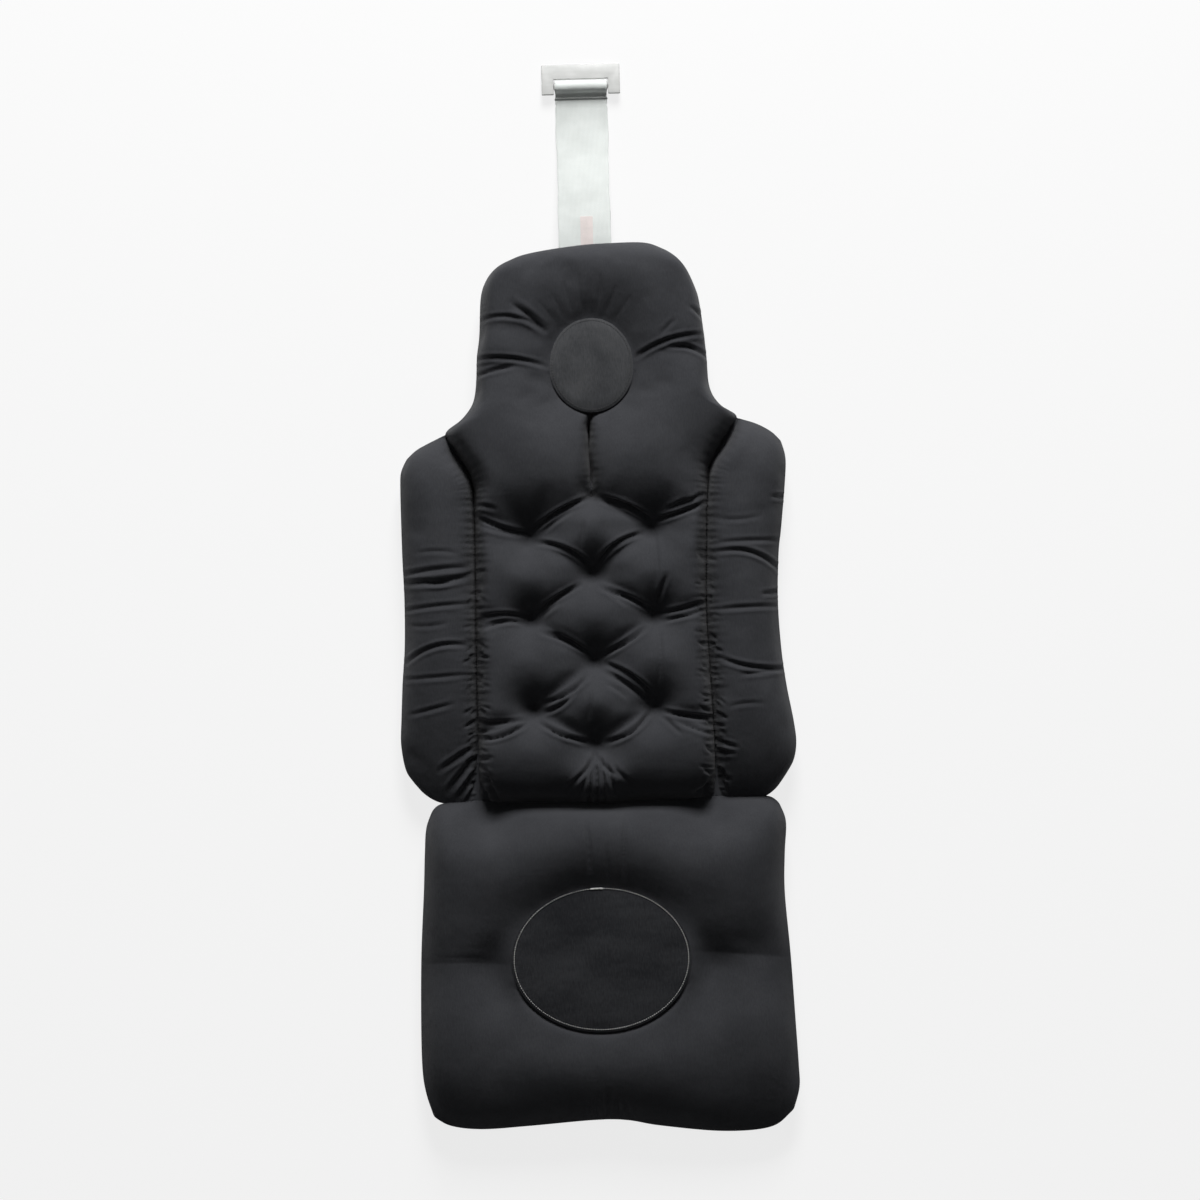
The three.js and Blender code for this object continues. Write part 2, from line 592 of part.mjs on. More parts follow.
// Sewn ridges that the seat and the bolsters fold about.
add(back, 'fold_welt', new THREE.BoxGeometry(2 * PANEL_EDGE, WELT, WELT)
  .translate(0, 0, SEAM_HEIGHT), BLACK_CLOTH);
for (const [name, side] of [['left', -1], ['right', 1]]) {
  const welt = slab(
    [FOLD_GAP, SEAM_TOP, SHOULDER_HEIGHT]
      .map((y) => [-WELT / 2, WELT / 2].map((offset) => [side * seamLine(y) + offset, y])),
    () => SEAM_HEIGHT + WELT / 2,
    () => SEAM_HEIGHT - WELT / 2,
  );
  add(back, `${name}_bolster_welt`, welt, BLACK_CLOTH);
}

// Side bolsters.
const bolsterRows = stations([
  BOLSTER_FOOT_GAP + EDGE_INSET, SEAM_TOP, BOLSTER_SHOULDER_HEIGHT,
  SHOULDER_HEIGHT - EDGE_INSET, SHOULDER_HEIGHT,
  ...cornerBreaks(BOLSTER_FOOT_GAP + BOLSTER_FOOT_CORNER, BOLSTER_FOOT_CORNER, -1),
], CUSHION_ROW_STEP);
for (const [name, side] of [['left', -1], ['right', 1]]) {
  const seam = (y) => side * (seamLine(y) + FOLD_GAP);
  const outer = (y) => side * bolsterSide(y);
  const bolster = cushion({
    rows: bolsterRows,
    left: side < 0 ? outer : seam,
    right: side < 0 ? seam : outer,
    shares: [0, 0.09, 0.24, 0.42, 0.58, 0.76, 0.91, 1],
    height: bolsterHeight,
  });
  const body = group(`${name}_bolster`);
  add(body, `${name}_bolster_front_cover`, bolster.front, BLACK_CLOTH);
  add(body, `${name}_bolster_rear_cover`, bolster.rear, BLACK_CLOTH);
  add(body, `${name}_bolster_fill`, bolster.fill, WADDING);
}

// Seat cushion with its oval inset; its hem is drawn in towards the middle.
const seat = group('seat');
const seatRows = stations([
  -FOLD_GAP - EDGE_INSET, -SEAT_LENGTH + EDGE_INSET, -OVAL_DROP,
  ...cornerBreaks(-FOLD_GAP - SEAT_TOP_CORNER, SEAT_TOP_CORNER, 1),
  ...cornerBreaks(-SEAT_LENGTH + SEAT_HEM_CORNER, SEAT_HEM_CORNER, -1),
], CUSHION_ROW_STEP);
const drawnHem = (x, y) => {
  const middle = Math.cos(Math.PI / 2 * clamp(Math.abs(x) / SEAT_HEM_HALF_WIDTH)) ** 2;
  const share = clamp(1 - (y + SEAT_LENGTH) / (SEAT_LENGTH - OVAL_DROP - OVAL_HALF_LENGTH));
  return [x, y + SEAT_HEM_RISE * middle * share];
};
const pad = cushion({
  rows: seatRows,
  left: (y) => -seatSide(y),
  right: seatSide,
  shares: [
    0, 0.018, 0.06, 0.12, 0.18, 0.24, 0.3, 0.37, 0.435, 0.5,
    0.565, 0.63, 0.7, 0.76, 0.82, 0.88, 0.94, 0.982, 1,
  ],
  height: seatHeight,
  map: drawnHem,
});
const oval = inset(-OVAL_DROP, OVAL_HALF_WIDTH, OVAL_HALF_LENGTH, OVAL_FLOOR, SEAT_CREST);
add(seat, 'seat_front_cover', cut(pad.front, [oval.hole]), BLACK_CLOTH);
add(seat, 'seat_rear_cover', pad.rear, BLACK_CLOTH);
add(seat, 'seat_fill', cut(pad.fill, [oval.pocket]), WADDING);
add(seat, 'seat_oval', oval.patch, BLACK_CLOTH);
add(seat, 'seat_oval_stitching', oval.stitching, WHITE_THREAD);

// Hanging strap sewn into the head seam, looped round the bar and tacked down.
const strap = group('strap');
const webbing = strapLine();
add(strap, 'strap_webbing', ribbon(webbing, STRAP, STRAP_WIDTH), WEBBING);
const tailEnd = webbing[webbing.length - 1];
const tackHeight = tailEnd.y + STRAP / 2 + CLEARANCE + THREAD_RADIUS;
add(strap, 'loop_stitching', new THREE.BoxGeometry(TACK_WIDTH, 2 * THREAD_RADIUS, 2 * THREAD_RADIUS)
  .translate(0, tailEnd.x + TAIL_LENGTH / 2, tackHeight), WHITE_THREAD);
const labelLine = stations([LABEL_OFFSET, LABEL_OFFSET + LABEL_LENGTH], 6).map(strapFall);
const labelLift = STRAP / 2 + CLEARANCE + LABEL / 2;
add(strap, 'strap_label', ribbon(offsetLine(labelLine, labelLift), LABEL, LABEL_WIDTH), LABEL_CLOTH);

// Hook plate: a slotted plate whose lower bar runs in the strap's loop; its far edge rests on the floor.
const hook = group('hook');
hook.position.set(0, BAR_HEIGHT, LOOP_OUTER);
hook.rotation.x = -PLATE_TILT;
const slotHalf = STRAP_WIDTH / 2 + SLOT_PLAY;
const plateHalf = slotHalf + PLATE_LEG;
const slotEnd = LOOP_OUTER + SLOT_PLAY;
const outline = new THREE.Shape();
outline.moveTo(-plateHalf, -LEG_TAIL);
outline.lineTo(-slotHalf, -LEG_TAIL);
outline.lineTo(-slotHalf, slotEnd);
outline.lineTo(slotHalf, slotEnd);
outline.lineTo(slotHalf, -LEG_TAIL);
outline.lineTo(plateHalf, -LEG_TAIL);
outline.lineTo(plateHalf, PLATE_REACH - PLATE_CORNER);
outline.absarc(plateHalf - PLATE_CORNER, PLATE_REACH - PLATE_CORNER, PLATE_CORNER, 0, Math.PI / 2);
outline.lineTo(-plateHalf + PLATE_CORNER, PLATE_REACH);
outline.absarc(-plateHalf + PLATE_CORNER, PLATE_REACH - PLATE_CORNER, PLATE_CORNER, Math.PI / 2, Math.PI);
const plate = new THREE.ExtrudeGeometry(outline, { depth: PLATE, bevelEnabled: false, curveSegments: 6 })
  .translate(0, 0, -PLATE / 2);
const bar = new THREE.CylinderGeometry(BAR_RADIUS, BAR_RADIUS, 2 * slotHalf + PLATE, 24)
  .rotateZ(Math.PI / 2);
add(hook, 'hook_plate', toGeometry(toSolid(plate).add(toSolid(bar))), GREY_PLASTIC);

// The middle of the length on the origin, the rear faces on z = 0.
pillow.position.y = (SEAT_LENGTH - TOP_END) / 2;

export default pillow;
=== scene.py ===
"""Full-length bath pillow laid flat on a pale floor, seen straight from above.

A tufted head and back panel with a round inset, two side bolsters, a seat with an oval inset, and a
hanging strap that ends in a slotted hook plate. Sizes are in millimetres until a mesh is written.
"""
import logging
import math
from dataclasses import dataclass
from enum import Enum
from typing import Any, Sequence, Union

import bpy
import numpy as np
from mathutils import Matrix, Vector


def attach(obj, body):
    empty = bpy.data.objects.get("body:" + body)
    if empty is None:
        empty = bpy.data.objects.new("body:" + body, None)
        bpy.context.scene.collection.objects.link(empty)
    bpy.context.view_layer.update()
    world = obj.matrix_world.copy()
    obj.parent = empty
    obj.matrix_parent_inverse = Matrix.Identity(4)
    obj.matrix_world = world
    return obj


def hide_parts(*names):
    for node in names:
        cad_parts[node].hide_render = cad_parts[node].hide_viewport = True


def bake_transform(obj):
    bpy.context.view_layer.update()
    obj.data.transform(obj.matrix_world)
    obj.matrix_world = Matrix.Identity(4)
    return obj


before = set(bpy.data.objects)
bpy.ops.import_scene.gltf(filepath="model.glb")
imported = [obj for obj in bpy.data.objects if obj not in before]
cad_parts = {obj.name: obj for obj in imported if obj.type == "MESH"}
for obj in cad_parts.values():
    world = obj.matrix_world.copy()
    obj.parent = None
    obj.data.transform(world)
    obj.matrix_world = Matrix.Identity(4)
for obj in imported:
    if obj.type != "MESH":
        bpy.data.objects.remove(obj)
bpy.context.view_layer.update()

LOG = logging.getLogger("bath_pillow")
MM = 0.001
Piece = bpy.types.Object
Socket = bpy.types.NodeSocket
Array = np.ndarray
Point = tuple[float, float]
Triple = tuple[float, float, float]
Quad = tuple[float, float, float, float]
Number = Union[int, float, "Signal"]
WHITE: Quad = (1.0, 1.0, 1.0, 1.0)
SEAM_HEIGHT = 22.0
FOLD_LINE = -196.7
STITCH_LIFT = 1.75
BAR: Point = (491.3, 5.8)


def ease(share: Array) -> Array:
    """Smooth step from 0 to 1 over a share that runs from 0 to 1."""
    share = np.clip(share, 0.0, 1.0)
    return share * share * (3.0 - 2.0 * share)


def roll(share: Array, power: float = 0.5) -> Array:
    """Swell from 0 to 1 over a share: a quarter round at power 0.5, a long slope at power 1."""
    return (1.0 - (1.0 - np.clip(share, 0.0, 1.0)) ** 2) ** power


def on_oval(middle: Point, half: Point, turn: float) -> Point:
    """Place on an oval at an angle from the right, in radians."""
    return middle[0] + half[0] * math.cos(turn), middle[1] + half[1] * math.sin(turn)


def arc(middle: Point, half: Point, start: float, end: float, steps: int = 12) -> tuple[Point, ...]:
    """Places in a number of steps along part of an oval, between two angles in degrees from the right."""
    turns = np.radians(np.linspace(start, end, steps + 1))
    return tuple(on_oval(middle, half, float(turn)) for turn in turns)


def lengths(line: Array) -> Array:
    """Length of a line up to each of its places, from 0."""
    return np.r_[0.0, np.cumsum(np.linalg.norm(np.diff(line, axis=0), axis=1))]


def far_from(lay: Array, spot: Point) -> Array:
    """Distance of each place of a layout from a spot, by row and column."""
    return np.linalg.norm(lay - np.array(spot), axis=2)


def close_by(spots: Array, line: Array, reach: float) -> tuple[Array, ...]:
    """Finds the points that lie near a line, seen from above.

    Args:
        spots: Points in millimetres.
        line: Places along the line.
        reach: How far round the line's box points count as near.

    Returns:
        A mask of the near points, the number of the place nearest to each, and its distance.
    """
    low, high = line.min(0) - reach, line.max(0) + reach
    near = np.all((spots[:, :2] > low) & (spots[:, :2] < high), axis=1)
    gaps = np.linalg.norm(spots[near, None, :2] - line[None], axis=2)
    return near, gaps.argmin(axis=1), gaps.min(axis=1)


class Bench:
    """The work bench: picks up pieces, and reads and moves their points in millimetres."""

    @staticmethod
    def take(piece: Piece) -> Piece:
        """Selects one piece alone and makes it active.

        Args:
            piece: The piece to work on.

        Returns:
            The same piece.
        """
        if bpy.context.object and bpy.context.object.mode != "OBJECT":
            bpy.ops.object.mode_set(mode="OBJECT")
        bpy.ops.object.select_all(action="DESELECT")
        piece.select_set(True)
        bpy.context.view_layer.objects.active = piece
        return piece

    @staticmethod
    def added(name: str) -> Piece:
        """Names the primitive that was just added.

        Args:
            name: The piece's name.

        Returns:
            The new piece, selected alone.
        """
        piece = bpy.context.object
        piece.name = name
        piece.data.name = name
        return Bench.take(piece)

    @staticmethod
    def grid(name: str, columns: int, rows: int) -> tuple[Piece, Array]:
        """Adds a flat grid of cloth.

        Args:
            name: The piece's name.
            columns: Cells across.
            rows: Cells along.

        Returns:
            The piece, and its point numbers by row and column from the lower left.
        """
        bpy.ops.object.select_all(action="DESELECT")
        bpy.ops.mesh.primitive_grid_add(x_subdivisions=columns, y_subdivisions=rows, size=2.0)
        piece = Bench.added(name)
        spots = Bench.spots(piece)
        order = np.lexsort((spots[:, 0].round(3), spots[:, 1].round(3)))
        return piece, order.reshape(rows + 1, columns + 1)

    @staticmethod
    def read(piece: Piece, value: str) -> Array:
        """Reads a value at every point of a piece.

        Args:
            piece: The piece.
            value: Name of the value.

        Returns:
            One row for each point.
        """
        flat = np.empty(len(piece.data.vertices) * 3)
        piece.data.vertices.foreach_get(value, flat)
        return flat.reshape(-1, 3)

    @staticmethod
    def spots(piece: Piece) -> Array:
        """Points of a piece in millimetres, one row each."""
        return Bench.read(piece, "co") / MM

    @staticmethod
    def normals(piece: Piece) -> Array:
        """Outward directions at the points of a piece, one row each."""
        return Bench.read(piece, "normal")

    @staticmethod
    def place(piece: Piece, spots: Array) -> None:
        """Moves the points of a piece to places in millimetres."""
        piece.data.vertices.foreach_set("co", (spots * MM).ravel())
        piece.data.update()

    @staticmethod
    def move(piece: Piece, matrix: Matrix) -> None:
        """Moves the whole mesh of a piece, so that the piece itself stays at the origin."""
        spots = Bench.spots(piece) * MM
        Bench.place(piece, (spots @ np.array(matrix.to_3x3()).T + np.array(matrix.translation)) / MM)

    @staticmethod
    def spread(piece: Piece, order: Array, *places: Any) -> None:
        """Lays a grid out.

        Args:
            piece: The grid.
            order: Its point numbers by row and column.
            places: X, Y and Z in millimetres, each by row and column or alike along either.
        """
        spots = np.empty((order.size, 3))
        for axis, values in enumerate(places):
            spots[order, axis] = values
        Bench.place(piece, spots)

    @staticmethod
    def apply(piece: Piece, kind: str, **settings: Any) -> None:
        """Adds a modifier with its settings and applies it.

        Args:
            piece: The piece to change.
            kind: The modifier's type.
            settings: Values for the modifier's own fields.
        """
        Bench.take(piece)
        modifier = piece.modifiers.new(kind.lower(), kind)
        for key, value in settings.items():
            setattr(modifier, key, value)
        bpy.ops.object.modifier_apply(modifier=modifier.name)

    @staticmethod
    def edit(piece: Piece, mode: str = "VERT", action: str = "SELECT") -> None:
        """Opens a piece in edit mode.

        Args:
            piece: The piece to work on.
            mode: What is selected: points, edges or faces.
            action: Whether all or none of it is selected.
        """
        Bench.take(piece)
        bpy.ops.object.mode_set(mode="EDIT")
        bpy.ops.mesh.select_mode(type=mode)
        bpy.ops.mesh.select_all(action=action)

    @staticmethod
    def close(sheet: Piece, turned: float = 0.0) -> None:
        """Closes a sheet across its open edge.

        Args:
            sheet: The sheet.
            turned: How far below the seam the edge is first turned under, in millimetres.
        """
        Bench.edit(sheet, "EDGE", "DESELECT")
        bpy.ops.mesh.select_non_manifold(
            extend=False, use_wire=False, use_boundary=True, use_multi_face=False,
            use_non_contiguous=False, use_verts=False,
        )
        if turned:
            bpy.ops.mesh.extrude_region_move(TRANSFORM_OT_translate={"value": (0.0, 0.0, -turned * MM)})
            level = 0.0, 0.0, (SEAM_HEIGHT - turned) * MM
            bpy.ops.transform.resize(value=(1.0, 1.0, 0.0), center_override=level)
        bpy.ops.mesh.edge_face_add()
        bpy.ops.object.mode_set(mode="OBJECT")
        Bench.smooth(sheet, 70.0)

    @staticmethod
    def join(name: str, parts: Sequence[Piece]) -> Piece:
        """Joins parts into one piece.

        Args:
            name: The piece's name.
            parts: The parts, the first of which is kept.

        Returns:
            The joined piece.
        """
        Bench.take(parts[0])
        for part in parts:
            part.select_set(True)
        bpy.ops.object.join()
        return Bench.added(name)

    @staticmethod
    def repeat(name: str, master: Piece, places: Sequence[Matrix]) -> Piece:
        """Copies a modelled part, each copy with a mesh of its own, and joins the copies.

        Args:
            name: The piece's name.
            master: The part, which isn't kept.
            places: Where the copies go, in metres.

        Returns:
            The joined piece.
        """
        parts = []
        for place in places:
            part = master.copy()
            part.data = master.data.copy()
            bpy.context.collection.objects.link(part)
            Bench.move(part, place)
            parts.append(part)
        bpy.data.objects.remove(master)
        piece = Bench.join(name, parts)
        Bench.smooth(piece, 60.0)
        return piece

    @staticmethod
    def tube(name: str, line: Array, radius: Array, sides: int) -> Piece:
        """Rolls a grid into a closed round along a line, drawn to a point at both ends.

        Args:
            name: The piece's name.
            line: Places along the middle, in millimetres.
            radius: Radius at each place.
            sides: Number of sides.

        Returns:
            The closed piece.
        """
        piece, order = Bench.grid(name, sides, len(line) + 1)
        along = np.gradient(line, axis=0)
        along = along / np.linalg.norm(along, axis=1, keepdims=True)
        line, along = (np.vstack([rows[:1], rows, rows[-1:]]) for rows in (line, along))
        radius = np.r_[0.0, radius, 0.0]
        level = np.cross((0.0, 0.0, 1.0), along)
        level = level / np.linalg.norm(level, axis=1, keepdims=True)
        upright = np.cross(along, level)
        turn = np.linspace(0.0, 2 * np.pi, sides + 1)
        ring = level[:, None] * np.cos(turn)[None, :, None] + upright[:, None] * np.sin(turn)[None, :, None]
        skin = line[:, None] + ring * radius[:, None, None]
        Bench.spread(piece, order, skin[..., 0], skin[..., 1], skin[..., 2])
        Bench.edit(piece)
        bpy.ops.mesh.remove_doubles(threshold=1e-6)
        bpy.ops.mesh.normals_make_consistent(inside=False)
        bpy.ops.object.mode_set(mode="OBJECT")
        return piece

    @staticmethod
    def bevel(piece: Piece, width: float, segments: int, degrees: float) -> None:
        """Rounds the edges of a piece that are sharper than an angle, by a width in millimetres."""
        limit = math.radians(degrees)
        Bench.apply(
            piece, "BEVEL", width=width * MM, segments=segments, limit_method="ANGLE", angle_limit=limit,
        )

    @staticmethod
    def smooth(piece: Piece, degrees: float) -> None:
        """Shades a piece smooth, with edges kept where faces meet at more than an angle."""
        Bench.take(piece)
        bpy.ops.object.shade_smooth_by_angle(angle=math.radians(degrees))


class Signal:
    """A socket of a finish's nodes that takes part in Python expressions."""

    def __init__(self, nodes: "FinishNodes", socket: Socket) -> None:
        """Keeps the socket and the nodes it belongs to."""
        self.nodes = nodes
        self.socket = socket

    def math(self, operation: str, first: Number, second: Number) -> "Signal":
        """Adds one Math node with an operation and two values, and gives its result."""
        node = self.nodes.add("ShaderNodeMath", {"operation": operation}, {0: first, 1: second})
        return Signal(self.nodes, node.outputs[0])

    def __add__(self, other: Number) -> "Signal":
        """Sum."""
        return self.math("ADD", self, other)

    __radd__ = __add__

    def __mul__(self, other: Number) -> "Signal":
        """Product."""
        return self.math("MULTIPLY", self, other)

    def __sub__(self, other: Number) -> "Signal":
        """Difference."""
        return self.math("SUBTRACT", self, other)

    def ramp(self, low: float, high: float) -> "Signal":
        """Smooth step from 0 at a low value to 1 at a high one."""
        node = self.nodes.add(
            "ShaderNodeMapRange", {"interpolation_type": "SMOOTHSTEP"},
            {"Value": self, "From Min": low, "From Max": high},
        )
        return Signal(self.nodes, node.outputs[0])


class FinishNodes:
    """The node tree of one finish, or of the room's light."""

    def __init__(self, owner: bpy.types.ID, output: str = "ShaderNodeOutputMaterial") -> None:
        """Empties the tree of a material or world and adds its output node.

        Args:
            owner: The material or world.
            output: The output node's type.
        """
        owner.use_nodes = True
        self.owner = owner
        self.tree = owner.node_tree
        self.tree.nodes.clear()
        self.output = self.add(output)

    def add(
        self, kind: str, settings: dict[str, Any] | None = None,
        inputs: dict[Any, Any] | None = None,
    ) -> bpy.types.Node:
        """Adds a node.

        Args:
            kind: The node's type.
            settings: Its fields, set first.
            inputs: Values or links of its sockets, by name or number.

        Returns:
            The node.
        """
        node = self.tree.nodes.new(kind)
        for key, value in (settings or {}).items():
            setattr(node, key, value)
        for key, value in (inputs or {}).items():
            socket = value.socket if isinstance(value, Signal) else value
            if isinstance(socket, Socket):
                self.tree.links.new(socket, node.inputs[key])
            else:
                node.inputs[key].default_value = socket
        return node

    def place(self, scale: Sequence[float] = (1.0, 1.0, 1.0), turn: float = 0.0) -> Socket:
        """Place on the piece in metres.

        Args:
            scale: Stretch along each axis.
            turn: Turn about the upright axis, in radians.

        Returns:
            The place.
        """
        where = self.add("ShaderNodeTexCoord").outputs["Object"]
        mapping = self.add(
            "ShaderNodeMapping", {}, {"Vector": where, "Scale": scale, "Rotation": (0.0, 0.0, turn)},
        )
        return mapping.outputs[0]

    def noise(
        self, scale: float, detail: float = 2.0, roughness: float = 0.5,
        where: Socket | None = None,
    ) -> Signal:
        """Soft random pattern.

        Args:
            scale: Repeats per metre.
            detail: Finer layers on top.
            roughness: Strength of the finer layers.
            where: Place to read, the piece's own place if not given.

        Returns:
            A value about 0.5.
        """
        node = self.add(
            "ShaderNodeTexNoise", {},
            {"Vector": where or self.place(), "Scale": scale, "Detail": detail, "Roughness": roughness},
        )
        return Signal(self, node.outputs[0])

    def wave(self, scale: float, axis: str, bend: float = 0.0, turn: float = 0.0) -> Signal:
        """Even ribs.

        Args:
            scale: Ribs per metre, up to a constant factor.
            axis: Axis that the ribs lie across.
            bend: How unevenly they run.
            turn: Turn about the upright axis, in radians.

        Returns:
            A value from 0 to 1.
        """
        node = self.add(
            "ShaderNodeTexWave", {"wave_type": "BANDS", "bands_direction": axis},
            {"Vector": self.place(turn=turn), "Scale": scale, "Distortion": bend, "Detail": 1.0,
             "Detail Scale": 2.0},
        )
        return Signal(self, node.outputs[1])

    def tint(self, share: Number, first: Sequence[float], second: Sequence[float]) -> Socket:
        """Colour between two colours, the first at a share of 0 and the second at 1."""
        colours = {0: share, 6: (*first, 1.0), 7: (*second, 1.0)}
        return self.add("ShaderNodeMix", {"data_type": "RGBA"}, colours).outputs[2]

    def bump(
        self, height: Signal, distance: float, strength: float, under: Socket | None = None,
    ) -> Socket:
        """Normal of a bumpy surface.

        Args:
            height: The bumps, from 0 to 1.
            distance: What a height of 1 is worth, in metres.
            strength: Share of the bumps that is kept.
            under: Normal of a finer bump, if there is one.

        Returns:
            The normal.
        """
        inputs = {"Height": height, "Distance": distance, "Strength": strength}
        if under:
            inputs["Normal"] = under
        return self.add("ShaderNodeBump", {}, inputs).outputs[0]

    def seen(self) -> Signal:
        """Tells what the camera looks at, also in a reflection or through a clear piece.

        Returns:
            1 where it looks, 0 for other light.
        """
        path = self.add("ShaderNodeLightPath").outputs
        camera, mirrored = Signal(self, path["Is Camera Ray"]), Signal(self, path["Is Glossy Ray"])
        return camera + mirrored + Signal(self, path["Is Transmission Ray"])

    def show(self, shader: bpy.types.Node) -> bpy.types.ID:
        """Joins a shader's node to the output, and gives the finished material or world."""
        self.tree.links.new(shader.outputs[0], self.output.inputs["Surface"])
        return self.owner

    def blend(self, share: Number, first: bpy.types.Node, second: bpy.types.Node) -> bpy.types.ID:
        """Shows a mix of two shaders, the first at a share of 0 and the second at 1."""
        inputs = {0: share, 1: first.outputs[0], 2: second.outputs[0]}
        return self.show(self.add("ShaderNodeMixShader", {}, inputs))

    def surface(self, **inputs: Any) -> bpy.types.Material:
        """Shows a surface shader, its sockets named with an underscore for each space."""
        named = {key.replace("_", " "): value for key, value in inputs.items()}
        return self.show(self.add("ShaderNodeBsdfPrincipled", {}, named))


@dataclass(frozen=True)
class PillowCloth:
    """Black brushed cloth with a short nap and a slight sheen."""

    name: str = "brushed_cloth"
    slot: str = "black_cloth"
    dark: Triple = (0.0335, 0.0345, 0.0385)
    light: Triple = (0.0532, 0.0545, 0.0595)
    thread: float = 1500.0
    nap: float = 2600.0
    crumple: float = 55.0
    cloud: float = 22.0
    stretch: Triple = (1.0, 1.0, 1.0)
    spread: Point = (0.2, 0.85)

    def make(self) -> bpy.types.Material:
        """Builds the material of the cover cloth.

        Returns:
            The material.
        """
        nodes = FinishNodes(bpy.data.materials.new(self.name))
        mottle = nodes.noise(self.cloud, 4.0, 0.55, nodes.place(self.stretch))
        nap = nodes.noise(self.nap, 3.0, 0.6)
        streak = nodes.noise(900.0, 2.0, 0.5, nodes.place((1.0, 0.22, 1.0), 0.5))
        weave = nodes.wave(self.thread, "X", 0.6, 0.785) * nodes.wave(self.thread, "Y", 0.6, 0.785)
        crumple = nodes.noise(self.crumple, 3.0, 0.5)
        shade = (mottle * 0.6 + nap * 0.25 + streak * 0.35 - 0.1).ramp(*self.spread)
        fine = nodes.bump(weave * 0.4 + nap * 0.8 + streak * 0.5, 0.00016, 0.5)
        return nodes.surface(
            Base_Color=nodes.tint(shade, self.dark, self.light),
            Roughness=0.72 + nap * 0.2,
            Normal=nodes.bump(crumple, 0.0022, 0.35, fine),
            Sheen_Weight=0.06,
            Sheen_Roughness=0.5,
            Specular_IOR_Level=0.04,
        )


@dataclass(frozen=True)
class SewingThread:
    """Twisted polyester thread."""

    name: str
    slot: str
    dark: Triple
    light: Triple
    twist: float = 620.0

    def make(self) -> bpy.types.Material:
        """Builds the material of a thread.

        Returns:
            The material.
        """
        nodes = FinishNodes(bpy.data.materials.new(self.name))
        twist = nodes.wave(self.twist, "DIAGONAL", 1.5)
        fuzz = nodes.noise(4200.0, 2.0, 0.6)
        return nodes.surface(
            Base_Color=nodes.tint((twist * 0.6 + fuzz * 0.4).ramp(0.1, 0.9), self.dark, self.light),
            Roughness=0.5 + fuzz * 0.25,
            Normal=nodes.bump(twist + fuzz * 0.5, 0.00012, 0.6),
            Sheen_Weight=0.15,
        )


@dataclass(frozen=True)
class SilverWebbing:
    """Pale woven band with fine cross ribs and a silky face."""

    name: str = "silver_webbing"
    slot: str = "webbing"
    dark: Triple = (0.56, 0.59, 0.57)
    light: Triple = (0.68, 0.71, 0.69)
    ribs: float = 330.0
    cords: float = 260.0

    def make(self) -> bpy.types.Material:
        """Builds the material of the strap's band.

        Returns:
            The material.
        """
        nodes = FinishNodes(bpy.data.materials.new(self.name))
        ribs = nodes.wave(self.ribs, "Y", 0.8)
        cords = nodes.wave(self.cords, "X", 0.4)
        cloud = nodes.noise(38.0, 3.0, 0.55)
        fuzz = nodes.noise(2400.0, 2.0, 0.6)
        ripple = nodes.noise(60.0, 2.0, 0.5, nodes.place((0.25, 1.0, 1.0)))
        shade = (cloud * 0.8 + ribs * 0.14 + fuzz * 0.22 + ripple * 0.12 - 0.12).ramp(0.2, 0.8)
        fine = nodes.bump(ribs * 0.7 + cords * 0.5 + fuzz * 0.4, 0.00022, 0.6)
        return nodes.surface(
            Base_Color=nodes.tint(shade, self.dark, self.light),
            Roughness=0.46 + fuzz * 0.2,
            Normal=nodes.bump(ripple, 0.0012, 0.3, fine),
            Sheen_Weight=0.1,
        )


@dataclass(frozen=True)
class LabelTape:
    """Plain thin tape in a faded pink."""

    name: str = "label_tape"
    slot: str = "label_cloth"
    dark: Triple = (0.58, 0.53, 0.51)
    light: Triple = (0.70, 0.63, 0.61)

    def make(self) -> bpy.types.Material:
        """Builds the material of the label.

        Returns:
            The material.
        """
        nodes = FinishNodes(bpy.data.materials.new(self.name))
        ribs = nodes.wave(420.0, "Y", 0.5)
        fade = nodes.noise(120.0, 3.0, 0.6)
        return nodes.surface(
            Base_Color=nodes.tint((fade * 0.8 + ribs * 0.25).ramp(0.2, 0.85), self.dark, self.light),
            Roughness=0.7 + fade * 0.15,
            Normal=nodes.bump(ribs, 0.0001, 0.5),
        )


@dataclass(frozen=True)
class MouldedPlastic:
    """Satin grey plastic with a fine moulded grain."""

    name: str = "moulded_plastic"
    slot: str = "grey_plastic"
    dark: Triple = (0.40, 0.405, 0.395)
    light: Triple = (0.50, 0.505, 0.495)

    def make(self) -> bpy.types.Material:
        """Builds the material of the hook plate.

        Returns:
            The material.
        """
        nodes = FinishNodes(bpy.data.materials.new(self.name))
        cloud = nodes.noise(70.0, 3.0, 0.5)
        grain = nodes.noise(3200.0, 2.0, 0.5)
        flow = nodes.noise(160.0, 2.0, 0.5, nodes.place((0.15, 1.0, 1.0)))
        return nodes.surface(
            Base_Color=nodes.tint((cloud * 0.6 + flow * 0.5).ramp(0.3, 0.8), self.dark, self.light),
            Roughness=0.34 + grain * 0.16 + cloud * 0.08,
            Normal=nodes.bump(grain, 0.00006, 0.5),
        )


